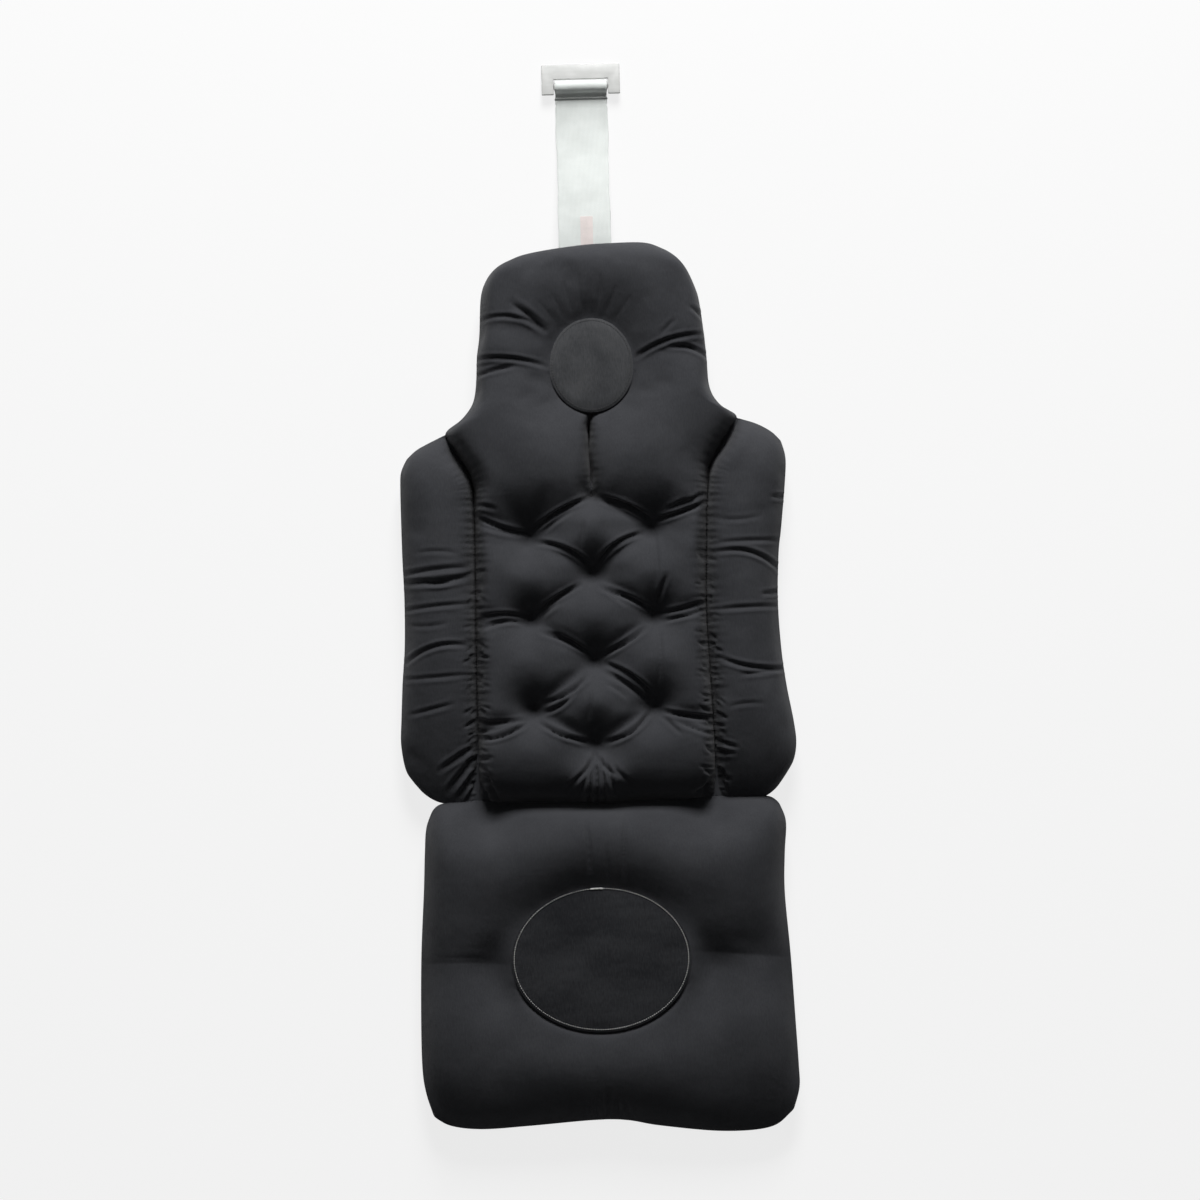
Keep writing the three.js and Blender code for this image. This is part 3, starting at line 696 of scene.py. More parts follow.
@dataclass(frozen=True)
class PaleFloor:
    """White floor that keeps a soft shadow."""

    name: str = "floor"
    paint: Triple = (0.78, 0.78, 0.78)
    glow: float = 0.8

    def make(self) -> bpy.types.Material:
        """Builds the floor's material, white where the camera looks at it directly.

        Returns:
            The material.
        """
        nodes = FinishNodes(bpy.data.materials.new(self.name))
        dull = tuple(0.97 * part for part in self.paint)
        colour = nodes.tint(nodes.noise(3.0, 2.0, 0.5), self.paint, dull)
        paint = nodes.add("ShaderNodeBsdfPrincipled", {}, {"Base Color": colour, "Roughness": 0.9})
        white = nodes.add("ShaderNodeEmission", {}, {"Color": WHITE, "Strength": 1.0})
        return nodes.blend(nodes.seen() * self.glow, paint, white)


class Finish(Enum):
    """Named finishes of the pillow, by the record's material slots."""

    CLOTH = PillowCloth()
    # Painted light: a lighter copy of the cover cloth for the head's flat inset, which faces the lamp and
    # lies nearest to it.
    LIT_HEAD_CLOTH = PillowCloth(
        "painted_light_head_cloth", dark=(0.041, 0.0425, 0.0455), light=(0.071, 0.0725, 0.076), cloud=36.0,
        spread=(0.3, 0.74),
    )
    # Painted shade: a darker copy of the cover cloth for the seat's low oval inset, which lies farther from
    # the lamp and in less light.
    SHADED_OVAL_CLOTH = PillowCloth(
        "painted_shade_oval_cloth", dark=(0.0145, 0.0152, 0.0175), light=(0.037, 0.0382, 0.0415), cloud=15.0,
        stretch=(1.0, 2.6, 1.0), spread=(0.28, 0.74),
    )
    DARK_THREAD = SewingThread(
        "dark_sewing_thread", "black_thread", (0.008, 0.008, 0.009), (0.02, 0.02, 0.021),
    )
    PALE_THREAD = SewingThread("pale_sewing_thread", "white_thread", (0.55, 0.55, 0.53), (0.8, 0.8, 0.78))
    WEBBING = SilverWebbing()
    LABEL = LabelTape()
    PLASTIC = MouldedPlastic()

    def material(self) -> bpy.types.Material:
        """The finish's material, built when it is first used."""
        return bpy.data.materials.get(self.value.name) or self.value.make()

    def dress(self, piece: Piece) -> Piece:
        """Gives a piece this finish alone.

        Args:
            piece: The finished piece.

        Returns:
            The same piece.
        """
        piece.data.materials.clear()
        piece.data.materials.append(self.material())
        return piece


class Side(Enum):
    """Left or right of the middle line."""

    LEFT = -1
    RIGHT = 1

    @property
    def label(self) -> str:
        """Word that starts the side's piece names."""
        return self.name.lower()


@dataclass(frozen=True)
class Edge:
    """A smooth edge of a cut pattern through a few points."""

    points: tuple[Point, ...]

    def walk(self, count: int) -> Array:
        """Even steps along the edge.

        Args:
            count: Number of places, ends included.

        Returns:
            Places in millimetres, one row each.
        """
        knots = np.array(self.points, float)
        ends = np.vstack([2 * knots[0] - knots[1], knots, 2 * knots[-1] - knots[-2]])
        share = np.linspace(0.0, 1.0, 24, endpoint=False)[:, None]
        runs = []
        for first, second, third, fourth in zip(ends, ends[1:], ends[2:], ends[3:]):
            runs.append(0.5 * (
                2 * second + (third - first) * share
                + (2 * first - 5 * second + 4 * third - fourth) * share ** 2
                + (3 * second - first - 3 * third + fourth) * share ** 3
            ))
        line = np.vstack([*runs, knots[-1:]])
        length = lengths(line)
        even = np.linspace(0.0, length[-1], count)
        return np.stack([np.interp(even, length, line[:, axis]) for axis in (0, 1)], axis=1)


@dataclass(frozen=True)
class Pattern:
    """A cut of cloth between four edges; the sides run upwards and the ends from left to right."""

    left: Edge
    right: Edge
    foot: Edge
    crown: Edge

    def lay(self, columns: int, rows: int) -> Array:
        """Spreads a grid evenly between the edges.

        Args:
            columns: Cells across.
            rows: Cells along.

        Returns:
            Places in millimetres by row and column.
        """
        across = np.linspace(0.0, 1.0, columns + 1)[None, :, None]
        along = np.linspace(0.0, 1.0, rows + 1)[:, None, None]
        left, right = self.left.walk(rows + 1), self.right.walk(rows + 1)
        foot, crown = self.foot.walk(columns + 1), self.crown.walk(columns + 1)
        ends = (1 - along) * foot[None] + along * crown[None]
        sides = (1 - across) * left[:, None] + across * right[:, None]
        corners = (1 - along) * ((1 - across) * foot[0] + across * foot[-1])
        corners = corners + along * ((1 - across) * crown[0] + across * crown[-1])
        return ends + sides - corners

    @staticmethod
    def from_edges(lay: Array) -> list[Array]:
        """Distances of each place from the left, right, foot and crown edges along the grid."""
        edges = lay[:, :1], lay[:, -1:], lay[:1], lay[-1:]
        return [np.linalg.norm(lay - edge, axis=2) for edge in edges]


@dataclass(frozen=True)
class Fold:
    """A crease in stuffed cloth: a sharp valley with soft lips along a bowed line."""

    start: Point
    end: Point
    bow: float = 0.0
    depth: float = 4.0
    width: float = 1.7
    lip: float = 0.26
    lip_at: float = 2.4
    lip_width: float = 1.1
    steps: int = 35

    def line(self) -> Array:
        """Walks along the crease, which bows towards the left of its direction.

        Returns:
            Places in millimetres, one row each.
        """
        start, end = np.array(self.start), np.array(self.end)
        run = end - start
        side = np.array([-run[1], run[0]]) / np.linalg.norm(run)
        share = np.linspace(0.0, 1.0, self.steps + 1)[:, None]
        return start + run * share + side * self.bow * 4.0 * share * (1.0 - share)

    def sink(self, spots: Array) -> Array:
        """How far the cloth sinks at each place.

        Args:
            spots: Points in millimetres.

        Returns:
            Depths in millimetres, negative on the lips.
        """
        near, nearest, gap = close_by(spots, self.line(), 6.0 * self.width)
        away = gap / self.width
        taper = np.sin(np.pi * np.clip(nearest / self.steps, 0.02, 0.98)) ** 0.6
        valley = np.exp(-away) - self.lip * np.exp(-((away - self.lip_at) / self.lip_width) ** 2)
        depth = np.zeros(len(spots))
        depth[near] = self.depth * taper * valley
        return depth


@dataclass(frozen=True)
class Pleats:
    """Short folds that run out of a sewn seam on one side, deeper towards the seam's foot."""

    edge: Edge
    side: int
    lean: float
    count: int = 26
    share: float = 0.62
    length: float = 9.0
    clear: float = 1.6
    steps: int = 239

    def folds(self) -> tuple[Fold, ...]:
        """Folds along the lower part of the seam, each of its own length and lean.

        Returns:
            The folds, from the seam's foot upwards.
        """
        line = self.edge.walk(self.steps + 1)
        folds = []
        for number in range(self.count):
            along = ((number + 0.5 + 0.42 * math.sin(2.3 * number)) / self.count) ** 1.25
            x, y = line[int(self.steps * self.share * along)]
            turn = math.radians(self.lean + 20.0 * math.sin(1.7 * number))
            length = (self.length + 5.0 * math.sin(3.1 * number)) * (1.4 - 0.7 * along)
            depth = (1.0 + 0.45 * math.sin(5.3 * number)) * (2.5 - 1.7 * along)
            start = x + self.side * self.clear, y
            end = start[0] + self.side * length * math.cos(turn), y - length * math.sin(turn)
            folds.append(Fold(start, end, 0.5, depth, 1.3, 0.2))
        return tuple(folds)


@dataclass(frozen=True)
class Slit:
    """The narrow gap at a sewn seam, drawn in unevenly by its stitches."""

    edge: Edge
    depth: float = 19.5
    width: float = 2.9
    pucker: float = 0.1
    pitch: float = 7.0
    fade: float = 20.0
    least: float = 0.3

    def sink(self, spots: Array) -> Array:
        """How far the cloth sinks at each place.

        Args:
            spots: Points in millimetres.

        Returns:
            Depths in millimetres.
        """
        line = self.edge.walk(220)
        near, nearest, gap = close_by(spots, line, 9.0 * self.width)
        length = lengths(line)[nearest]
        beat = 2 * np.pi * length / self.pitch + 3.0 * np.sin(length / 23.0) + 2.0 * np.sin(length / 9.7)
        width = self.width * (1.0 + self.pucker * (np.sin(beat) + np.sin(0.37 * beat + 1.0)))
        ends = ease(length / self.fade) * ease((length.max() - length) / self.fade)
        depth = np.zeros(len(spots))
        depth[near] = self.depth * (self.least + (1.0 - self.least) * ends) * np.exp(-gap / width)
        return depth


@dataclass(frozen=True)
class Tuck:
    """A broad valley between two plump parts of a cushion, drawn down along a straight line."""

    start: Point
    end: Point
    first: float = 0.66
    middle: float = 0.26
    last: float = 0.66
    above: float = 20.0
    below: float = 20.0
    spans: Point = (1.0, 1.0)

    def draw(self, lay: Array) -> Array:
        """Share of the height that is lost at each place.

        Args:
            lay: Places in millimetres by row and column.

        Returns:
            Shares from 0 to 1 by row and column.
        """
        run = np.array(self.end, float) - np.array(self.start, float)
        side = np.array([-run[1], run[0]]) / np.linalg.norm(run)
        side = side if side[1] >= 0 else -side
        place = lay - np.array(self.start, float)
        share = np.clip(place @ run / (run @ run), 0.0, 1.0)
        gap = np.linalg.norm(place - share[..., None] * run, axis=2)
        tilt = np.clip(0.5 + 0.5 * (place @ side) / np.maximum(gap, 1e-6), 0.0, 1.0)
        above = self.above * (self.spans[0] + (self.spans[1] - self.spans[0]) * share)
        reach = self.below + (above - self.below) * ease(tilt)
        ends = np.where(share < 0.5, self.first, self.last)
        deep = self.middle + (ends - self.middle) * np.abs(2.0 * share - 1.0) ** 1.8
        return deep * (1.0 - np.clip(gap / reach, 0.0, 1.0)) ** 2


@dataclass(frozen=True)
class Stuffing:
    """Loose fibre that presses the cloth out until it is taut."""

    slack: float
    bend: float
    reach: float
    rub: int = 3
    rub_share: float = 0.6
    pressure: float = 4.0
    steps: int = 20

    def press(self, sheet: Piece, order: Array, held: Array) -> None:
        """Swells a sheet by cloth simulation and keeps the result.

        Args:
            sheet: The sheet, laid out and raised.
            order: Its point numbers by row and column.
            held: Where the cloth is held fast, by row and column.
        """
        before = Bench.spots(sheet)
        Bench.take(sheet)
        group = sheet.vertex_groups.new(name="held")
        group.add(order[held].tolist(), 1.0, "REPLACE")
        bpy.ops.object.modifier_add(type="CLOTH")
        cloth = sheet.modifiers[-1]
        settings = cloth.settings
        settings.quality = 6
        settings.mass = 0.1
        settings.tension_stiffness = settings.compression_stiffness = 15.0
        settings.shear_stiffness = 5.0
        settings.bending_stiffness = self.bend
        settings.air_damping = 2.0
        settings.use_pressure = True
        settings.uniform_pressure_force = self.pressure
        settings.shrink_min = -self.slack
        settings.vertex_group_mass = group.name
        settings.pin_stiffness = 50.0
        settings.effector_weights.gravity = 0.0
        cloth.collision_settings.use_collision = False
        cloth.point_cache.frame_end = self.steps + 5
        scene = bpy.context.scene
        for step in range(1, self.steps + 1):
            scene.frame_set(step)
        bpy.ops.object.modifier_apply(modifier=cloth.name)
        scene.frame_set(1)
        sheet.vertex_groups.clear()
        move = Bench.spots(sheet) - before
        far = np.linalg.norm(move, axis=1, keepdims=True)
        Bench.place(sheet, before + move * np.minimum(1.0, self.reach / np.maximum(far, 1e-6)))

    def settle(self, sheet: Piece, order: Array, held: Array) -> None:
        """Rubs the smallest wrinkles out of a swollen sheet.

        Args:
            sheet: The sheet.
            order: Its point numbers by row and column.
            held: Where the cloth is held fast, by row and column.
        """
        spots = Bench.spots(sheet)
        cloth = spots[order]
        for _ in range(self.rub):
            middle = cloth.copy()
            middle[1:-1, 1:-1] = (
                cloth[:-2, 1:-1] + cloth[2:, 1:-1] + cloth[1:-1, :-2] + cloth[1:-1, 2:]
            ) / 4.0
            cloth = cloth + (middle - cloth) * self.rub_share * (1.0 - held)[..., None]
        spots[order] = cloth
        Bench.place(sheet, spots)


@dataclass
class PaddedPiece:
    """A stuffed cushion: a front sheet swollen from its cut pattern, closed along the seam.

    Rolls and powers go by the left, right, foot and crown edges. Lifts raise the left and right edges
    between two ends along the pillow, where the cushion is sewn to its neighbour.
    """

    name: str
    pattern: Pattern
    columns: int
    rows: int
    crest: float
    rolls: Quad
    folds: tuple[Fold, ...]
    stuffing: Stuffing
    slits: tuple[Slit, ...]
    powers: Quad
    lifts: Point = (0.0, 0.0)
    lift_ends: Point = (-199.0, 160.0)
    lift_fades: Point = (32.0, 60.0)
    levels: int = 2
    hem: float = 0.8

    def raised(self, lay: Array) -> Array:
        """Height of the front above the seam.

        Args:
            lay: Places of the grid in millimetres, by row and column.

        Returns:
            Heights in millimetres, by row and column.
        """
        edges = zip(Pattern.from_edges(lay), self.rolls, self.powers)
        swells = [roll(gap / reach, power) for gap, reach, power in edges]
        sewn = ease((lay[..., 1] - self.lift_ends[0]) / self.lift_fades[0])
        sewn = sewn * ease((self.lift_ends[1] - lay[..., 1]) / self.lift_fades[1])
        for edge, lift in enumerate(self.lifts):
            start = lift / self.crest * sewn
            swells[edge] = start + (1.0 - start) * swells[edge]
        return self.crest * math.prod(swells)

    def held(self, lay: Array) -> Array:
        """Where the cloth is held fast: along the seam.

        Args:
            lay: Places of the grid, by row and column.

        Returns:
            A mask by row and column.
        """
        firm = np.zeros(lay.shape[:2], bool)
        firm[[0, -1], :] = True
        firm[:, [0, -1]] = True
        return firm

    def build(self) -> Piece:
        """Makes the cushion.

        Returns:
            The closed cushion, its place in its mesh.
        """
        sheet, order = Bench.grid(self.name, self.columns, self.rows)
        lay = self.pattern.lay(self.columns, self.rows)
        Bench.spread(sheet, order, lay[..., 0], lay[..., 1], SEAM_HEIGHT + self.raised(lay))
        held = self.held(lay)
        self.stuffing.press(sheet, order, held)
        self.stuffing.settle(sheet, order, held)
        Bench.apply(sheet, "SUBSURF", levels=self.levels, render_levels=self.levels)
        self.crease(sheet)
        Bench.close(sheet, self.hem)
        return sheet

    def crease(self, sheet: Piece) -> None:
        """Works the creases and the seam gaps into the front.

        Args:
            sheet: The swollen front.
        """
        spots = Bench.spots(sheet)
        depth = np.zeros(len(spots))
        for fold in self.folds:
            depth = depth + fold.sink(spots)
        spots = spots - Bench.normals(sheet) * depth[:, None]
        for slit in self.slits:
            spots[:, 2] = np.maximum(spots[:, 2] - slit.sink(spots), np.minimum(spots[:, 2], SEAM_HEIGHT))
        Bench.place(sheet, spots)


@dataclass
class InsetCushion(PaddedPiece):
    """A cushion that slopes down to a flat oval inset in its front."""

    inset: Point = (0.0, 0.0)
    inset_half: Point = (1.0, 1.0)
    inset_height: float = 26.5
    inset_slope: float = 1.0
    inset_hold: float = 1.0

    def ring(self, lay: Array) -> Array:
        """Distance of each place from the inset's middle, 1 at its edge."""
        return np.linalg.norm((lay - np.array(self.inset)) / np.array(self.inset_half), axis=2)

    def sloped(self, lay: Array, height: Array) -> Array:
        """Slopes the front down to the inset.

        Args:
            lay: Places of the grid, by row and column.
            height: Heights without the inset.

        Returns:
            Heights with it.
        """
        low = self.inset_height
        slope = 1.0 - (1.0 - np.clip((self.ring(lay) - 1.0) / self.inset_slope, 0.0, 1.0)) ** 2
        return np.minimum(height, low + (height - low) * slope)

    def held(self, lay: Array) -> Array:
        """Where the cloth is held fast: the seam and the inset."""
        return super().held(lay) | (self.ring(lay) < self.inset_hold)


@dataclass
class BackCushion(InsetCushion):
    """Front of the head and back, drawn down at its tufts and round the flat inset."""

    inset: Point = (3.0, 221.0)
    inset_half: Point = (41.0, 46.0)
    inset_slope: float = 1.22
    inset_hold: float = 1.02
    tufts: tuple[Point, ...] = ()
    tucks: tuple[Tuck, ...] = ()
    plumps: tuple[tuple[Point, float, float], ...] = (
        ((-62.0, 136.0), 11.0, 50.0), ((54.0, 140.0), 9.0, 50.0), ((-1.0, -187.0), 14.0, 15.0),
    )
    tuft_height: float = 11.0
    tuft_reach: float = 44.0
    top_reach: float = 22.0
    tuft_share: float = 0.72
    tuft_pinch: float = 4.0

    def raised(self, lay: Array) -> Array:
        """Height of the front above the seam.

        Args:
            lay: Places of the grid in millimetres, by row and column.

        Returns:
            Heights in millimetres, by row and column.
        """
        height = super().raised(lay)
        for spot, rise, reach in self.plumps:
            height = height + rise * np.exp(-(far_from(lay, spot) / reach) ** 2) * height / self.crest
        drawn = np.zeros(height.shape)
        for tuck in self.tucks:
            drawn = np.maximum(drawn, tuck.draw(lay))
        gaps = [far_from(lay, tuft) for tuft in self.tufts]
        for number, gap in enumerate(gaps):
            near = np.clip(1.0 - gap / (self.tuft_reach if number else self.top_reach), 0.0, 1.0)
            drawn = np.maximum(drawn, self.tuft_share * near ** 2)
        height = height * (1.0 - drawn)
        for gap in gaps:
            height = height - np.maximum(height - self.tuft_height, 0.0) * np.exp(-gap / self.tuft_pinch)
        return self.sloped(lay, height)

    def held(self, lay: Array) -> Array:
        """Where the cloth is held fast: the seam, the inset and the tufts.

        Args:
            lay: Places of the grid, by row and column.

        Returns:
            A mask by row and column.
        """
        firm = super().held(lay)
        for tuft in self.tufts:
            gap = far_from(lay, tuft)
            firm[gap <= gap.min() + 0.01] = True
        return firm


@dataclass
class SeatPad(InsetCushion):
    """Front of the seat: high by the fold, pinched at its waist and drawn down round its flat oval."""

    inset: Point = (-3.0, -348.0)
    inset_half: Point = (87.0, 71.0)
    inset_slope: float = 0.64
    high: float = -243.0
    pinch: float = -351.0
    lower: float = 0.57
    puff: float = 0.2
    puff_run: float = 172.0
    hollows: tuple[Point, ...] = ((-110.0, -205.0), (104.0, -203.0))
    hollow: float = 26.0
    hollow_share: float = 0.85
    hollow_stretch: Point = (0.75, 1.0)
    dips: tuple[tuple[Point, float, Point], ...] = (
        ((-101.0, -352.0), 15.0, (27.0, 48.0)), ((97.0, -354.0), 17.0, (27.0, 48.0)),
        ((146.0, -356.0), 9.0, (34.0, 48.0)),
    )
    dip_tail: float = 0.62
    dip_rim: float = 0.13
    dip_edge: float = 30.0
    sag: Point = (0.2, 0.42)
    sag_start: Point = (70.0, -395.0)
    sag_run: float = 110.0

    def raised(self, lay: Array) -> Array:
        """Height of the front above the seam.

        Args:
            lay: Places of the grid in millimetres, by row and column.

        Returns:
            Heights in millimetres, by row and column.
        """
        across, along = lay[..., 0], lay[..., 1]
        fall = np.clip((self.high - along) / (self.high - self.pinch), 0.0, 1.0) ** 2
        puff = np.sin(np.pi * np.clip((self.pinch - along) / self.puff_run, 0.0, 1.0)) ** 1.5
        height = super().raised(lay) * (1.0 - (1.0 - self.lower) * fall + self.puff * puff)
        for spot in self.hollows:
            gap = np.linalg.norm((lay - np.array(spot)) * self.hollow_stretch, axis=2)
            height = height * (1.0 - self.hollow_share * np.exp(-(gap / self.hollow) ** 2))
        clear = ease((self.ring(lay) - 1.0) / self.dip_rim)
        clear = clear * roll(Pattern.from_edges(lay)[1] / self.dip_edge)
        for spot, depth, reach in self.dips:
            gap = (lay - np.array(spot)) / np.array(reach)
            gap[..., 1] *= np.where(gap[..., 1] < 0.0, self.dip_tail, 1.0)
            height = height - depth * clear * np.exp(-np.sum(gap ** 2, axis=2))
        lowest = ease((self.sag_start[1] - along) / self.sag_run)
        for side, share in zip(Side, self.sag):
            outer = ease((side.value * across - self.sag_start[0]) / self.sag_run)
            height = height * (1.0 - share * lowest * outer)
        return self.sloped(lay, height)


@dataclass
class Lining:
    """The plain rear of a cushion: flat where it lies, rounded up to the seam."""

    name: str
    pattern: Pattern
    columns: int
    rows: int
    turn: float = 26.0
    pucker: float = 0.9
    pucker_in: float = 12.0
    pucker_width: float = 8.0
    dimples: tuple[Point, ...] = ()
    dimple: float = 5.0
    dimple_reach: float = 7.0

    def build(self) -> Piece:
        """Makes the rear cover.

        Returns:
            The closed piece, its place in its mesh.
        """
        sheet, order = Bench.grid(self.name, self.columns, self.rows)
        lay = self.pattern.lay(self.columns, self.rows)
        across, along = lay[..., 0], lay[..., 1]
        gaps = Pattern.from_edges(lay)
        height = SEAM_HEIGHT * (1.0 - math.prod(roll(gap / self.turn) for gap in gaps))
        ripple = np.sin(0.42 * across + 1.7 * np.sin(0.05 * along))
        ripple = ripple * np.sin(0.37 * along + 1.3 * np.sin(0.06 * across))
        rim = np.minimum.reduce(gaps)
        height = height + self.pucker * ripple * np.exp(-((rim - self.pucker_in) / self.pucker_width) ** 2)
        for spot in self.dimples:
            height = height + self.dimple * np.exp(-far_from(lay, spot) / self.dimple_reach)
        Bench.spread(sheet, order, across, along, np.maximum(height, 0.0))
        Bench.edit(sheet)
        bpy.ops.mesh.flip_normals()
        bpy.ops.object.mode_set(mode="OBJECT")
        Bench.apply(sheet, "SUBSURF", levels=1, render_levels=1)
        Bench.close(sheet)
        return sheet


@dataclass
class Patch:
    """A flat inset of cover cloth with its edge turned under."""

    name: str
    middle: Point
    half: Point
    base: float
    rise: float = 1.8
    dome: float = 1.2
    ripple: float = 0.5
    edge: float = 3.0
    thickness: float = 0.6

    def build(self) -> Piece:
        """Makes the inset.

        Returns:
            The closed piece, its place in its mesh.
        """
        bpy.ops.object.select_all(action="DESELECT")
        bpy.ops.mesh.primitive_circle_add(vertices=96, radius=1.0, fill_type="TRIFAN")
        piece = Bench.added(self.name)
        Bench.edit(piece)
        bpy.ops.mesh.subdivide(number_cuts=7)
        bpy.ops.object.mode_set(mode="OBJECT")
        spots = Bench.spots(piece) * MM
        reach = np.linalg.norm(spots[:, :2], axis=1)
        spots[:, :2] = np.array(self.middle) + spots[:, :2] * np.array(self.half)
        ripple = np.sin(0.11 * spots[:, 0] + 2.0) * np.sin(0.09 * spots[:, 1] + 0.4)
        edge = roll((1.0 - reach) * min(self.half) / self.edge)
        swell = (self.dome + self.ripple * ripple) * edge * (1 - reach ** 2)
        spots[:, 2] = self.base + self.rise * edge + swell
        Bench.place(piece, spots)
        Bench.apply(piece, "SOLIDIFY", thickness=self.thickness * MM, offset=-1.0)
        Bench.smooth(piece, 60.0)
        return piece


@dataclass
class StitchRow:
    """A ring of stitches round an inset; one stitch is modelled and copied."""

    name: str
    middle: Point = (0.0, 0.0)
    half: Point = (1.0, 1.0)
    height: float = 0.0
    pitch: float = 2.25
    length: float = 1.1
    thickness: float = 0.78
    slant: float = 0.16
    sway: float = 0.08
    knot: float | None = None
    knot_shifts: tuple[float, ...] = (-3.0, 0.0, 2.6)
    knot_size: Triple = (4.0, 2.2, 1.6)
    knot_lift: float = 0.25

    def stitch(self) -> Piece:
        """Models one stitch along X, its ends dipping into the cloth.

        Returns:
            The stitch, at the origin.
        """
        bpy.ops.object.select_all(action="DESELECT")
        bpy.ops.mesh.primitive_cylinder_add(
            vertices=6, radius=self.thickness * MM / 2, depth=self.length * MM, end_fill_type="TRIFAN",
            rotation=(0.0, math.pi / 2, 0.0),
        )
        piece = Bench.added("stitch")
        bpy.ops.object.transform_apply(location=True, rotation=True, scale=True)
        Bench.edit(piece)
        bpy.ops.mesh.subdivide(number_cuts=2)
        bpy.ops.object.mode_set(mode="OBJECT")
        spots = Bench.spots(piece)
        share = np.clip(np.abs(spots[:, 0]) * 2 / self.length, 0.0, 1.0)
        spots[:, 1:] *= (1.0 - 0.45 * share ** 3)[:, None]
        spots[:, 2] -= 0.45 * self.thickness * share ** 2
        Bench.place(piece, spots)
        return piece

    def spot(self, turn: float, lift: float = 0.0) -> Matrix:
        """Move from the origin to the place on the ring at an angle in radians, lifted off the cloth."""
        place = Vector((*on_oval(self.middle, self.half, turn), self.height + lift))
        return Matrix.Translation(place * MM)

    def build(self) -> Piece:
        """Sews the ring.

        Returns:
            All the stitches as one piece.
        """
        ring = np.array(arc(self.middle, self.half, 0.0, 360.0, 720))
        length, turns = lengths(ring), np.linspace(0.0, 2 * np.pi, len(ring))
        count = round(length[-1] / self.pitch)
        places = []
        for step in range(count):
            turn = float(np.interp(step * length[-1] / count, length, turns))
            heading = math.atan2(self.half[1] * math.cos(turn), -self.half[0] * math.sin(turn))
            heading += self.slant + self.sway * math.sin(step * 2.4)
            places.append(self.spot(turn) @ Matrix.Rotation(heading, 4, "Z"))
        for shift in self.knot_shifts if self.knot is not None else ():
            place = self.spot(math.radians(self.knot + shift), self.knot_lift)
            turned = Matrix.Rotation(0.02 * shift, 4, "Z")
            places.append(place @ turned @ Matrix.Diagonal((*self.knot_size, 1.0)))
        return Bench.repeat(self.name, self.stitch(), places)


LEFT_SEAM = Edge((
    (-116, -196), (-115.5, -145), (-115.5, -93), (-114.5, -16), (-113.5, 61), (-113.5, 100), (-117, 117),
    (-128, 136), (-140, 158),
))
RIGHT_SEAM = Edge((
    (112, -197), (111, -126), (109, -74), (107, -22), (108, 30), (111, 95), (115, 122), (128, 143),
    (142, 167),
))
BACK_PATTERN = Pattern(
    left=Edge(LEFT_SEAM.points + (
        (-124, 172), (-114, 184), (-110, 195), (-108, 212), (-107, 232), (-104, 253), (-102, 287),
        (-98, 302), (-91, 313), (-84, 319),
    )),
    right=Edge(RIGHT_SEAM.points + (
        (128, 178), (119, 189), (115, 202), (114, 223), (112, 247), (108, 281), (104, 295), (98, 309),
        (91, 318),
    )),
    foot=Edge(((-116, -196), (-60, -198), (0, -200), (60, -198.5), (112, -197))),
    crown=Edge((
        (-84, 319), (-72, 325), (-52, 331), (-5, 337), (26, 338.5), (57, 338), (74, 332), (84, 326),
        (91, 318),
    )),
)
LEFT_BOLSTER_PATTERN = Pattern(
    left=Edge((
        (-178, -176), (-186, -163), (-190, -138), (-189, -114), (-187, -80), (-184, -45), (-183, 0),
        (-184, 47), (-184, 112), (-182, 126), (-177, 136),
    )),
    right=LEFT_SEAM,
    foot=Edge(((-178, -176), (-168, -187), (-154, -195), (-136, -197), (-116, -196))),
    crown=Edge(((-177, 136), (-168, 144), (-157, 150), (-140, 158))),
)
RIGHT_BOLSTER_PATTERN = Pattern(
    left=RIGHT_SEAM,
    right=Edge((
        (179, -177), (187, -163), (190, -146), (188, -125), (182, -90), (178, -55), (176, -9),
        (178, 37), (181, 60), (186, 106), (187, 128), (183, 144),
    )),
    foot=Edge(((112, -197), (135, -199), (154, -199), (168, -191), (179, -177))),
    crown=Edge(((142, 167), (160, 161), (174, 153), (183, 144))),
)
SEAT_PATTERN = Pattern(
    left=Edge((
        (-168, -497), (-175, -474), (-178, -450), (-178, -403), (-176, -340), (-172, -280),
        (-170, -242), (-168, -219), (-162, -203),
    )),
    right=Edge((
        (178, -499), (184, -478), (184, -458), (182, -413), (179, -350), (175, -290), (176, -252),
        (178, -222), (172, -204),
    )),
    foot=Edge((
        (-168, -497), (-152, -506), (-122, -510), (-76, -508), (-13, -504), (18, -505), (49, -511),
        (110, -518), (156, -515), (178, -499),
    )),
    crown=Edge((
        (-162, -203), (-152, -196), (-114, -194), (0, -198), (96, -196), (158, -196.5), (172, -204),
    )),
)
# Tufts: the middle column from the top, then the left and the right column.
TUFTS: tuple[Point, ...] = (
    (-1, 96), (-1, 22), (-1, -61), (-3, -141), (-60, 59), (-62, -20), (-61, -107), (56, 64), (57, -20),
    (55, -107),
)
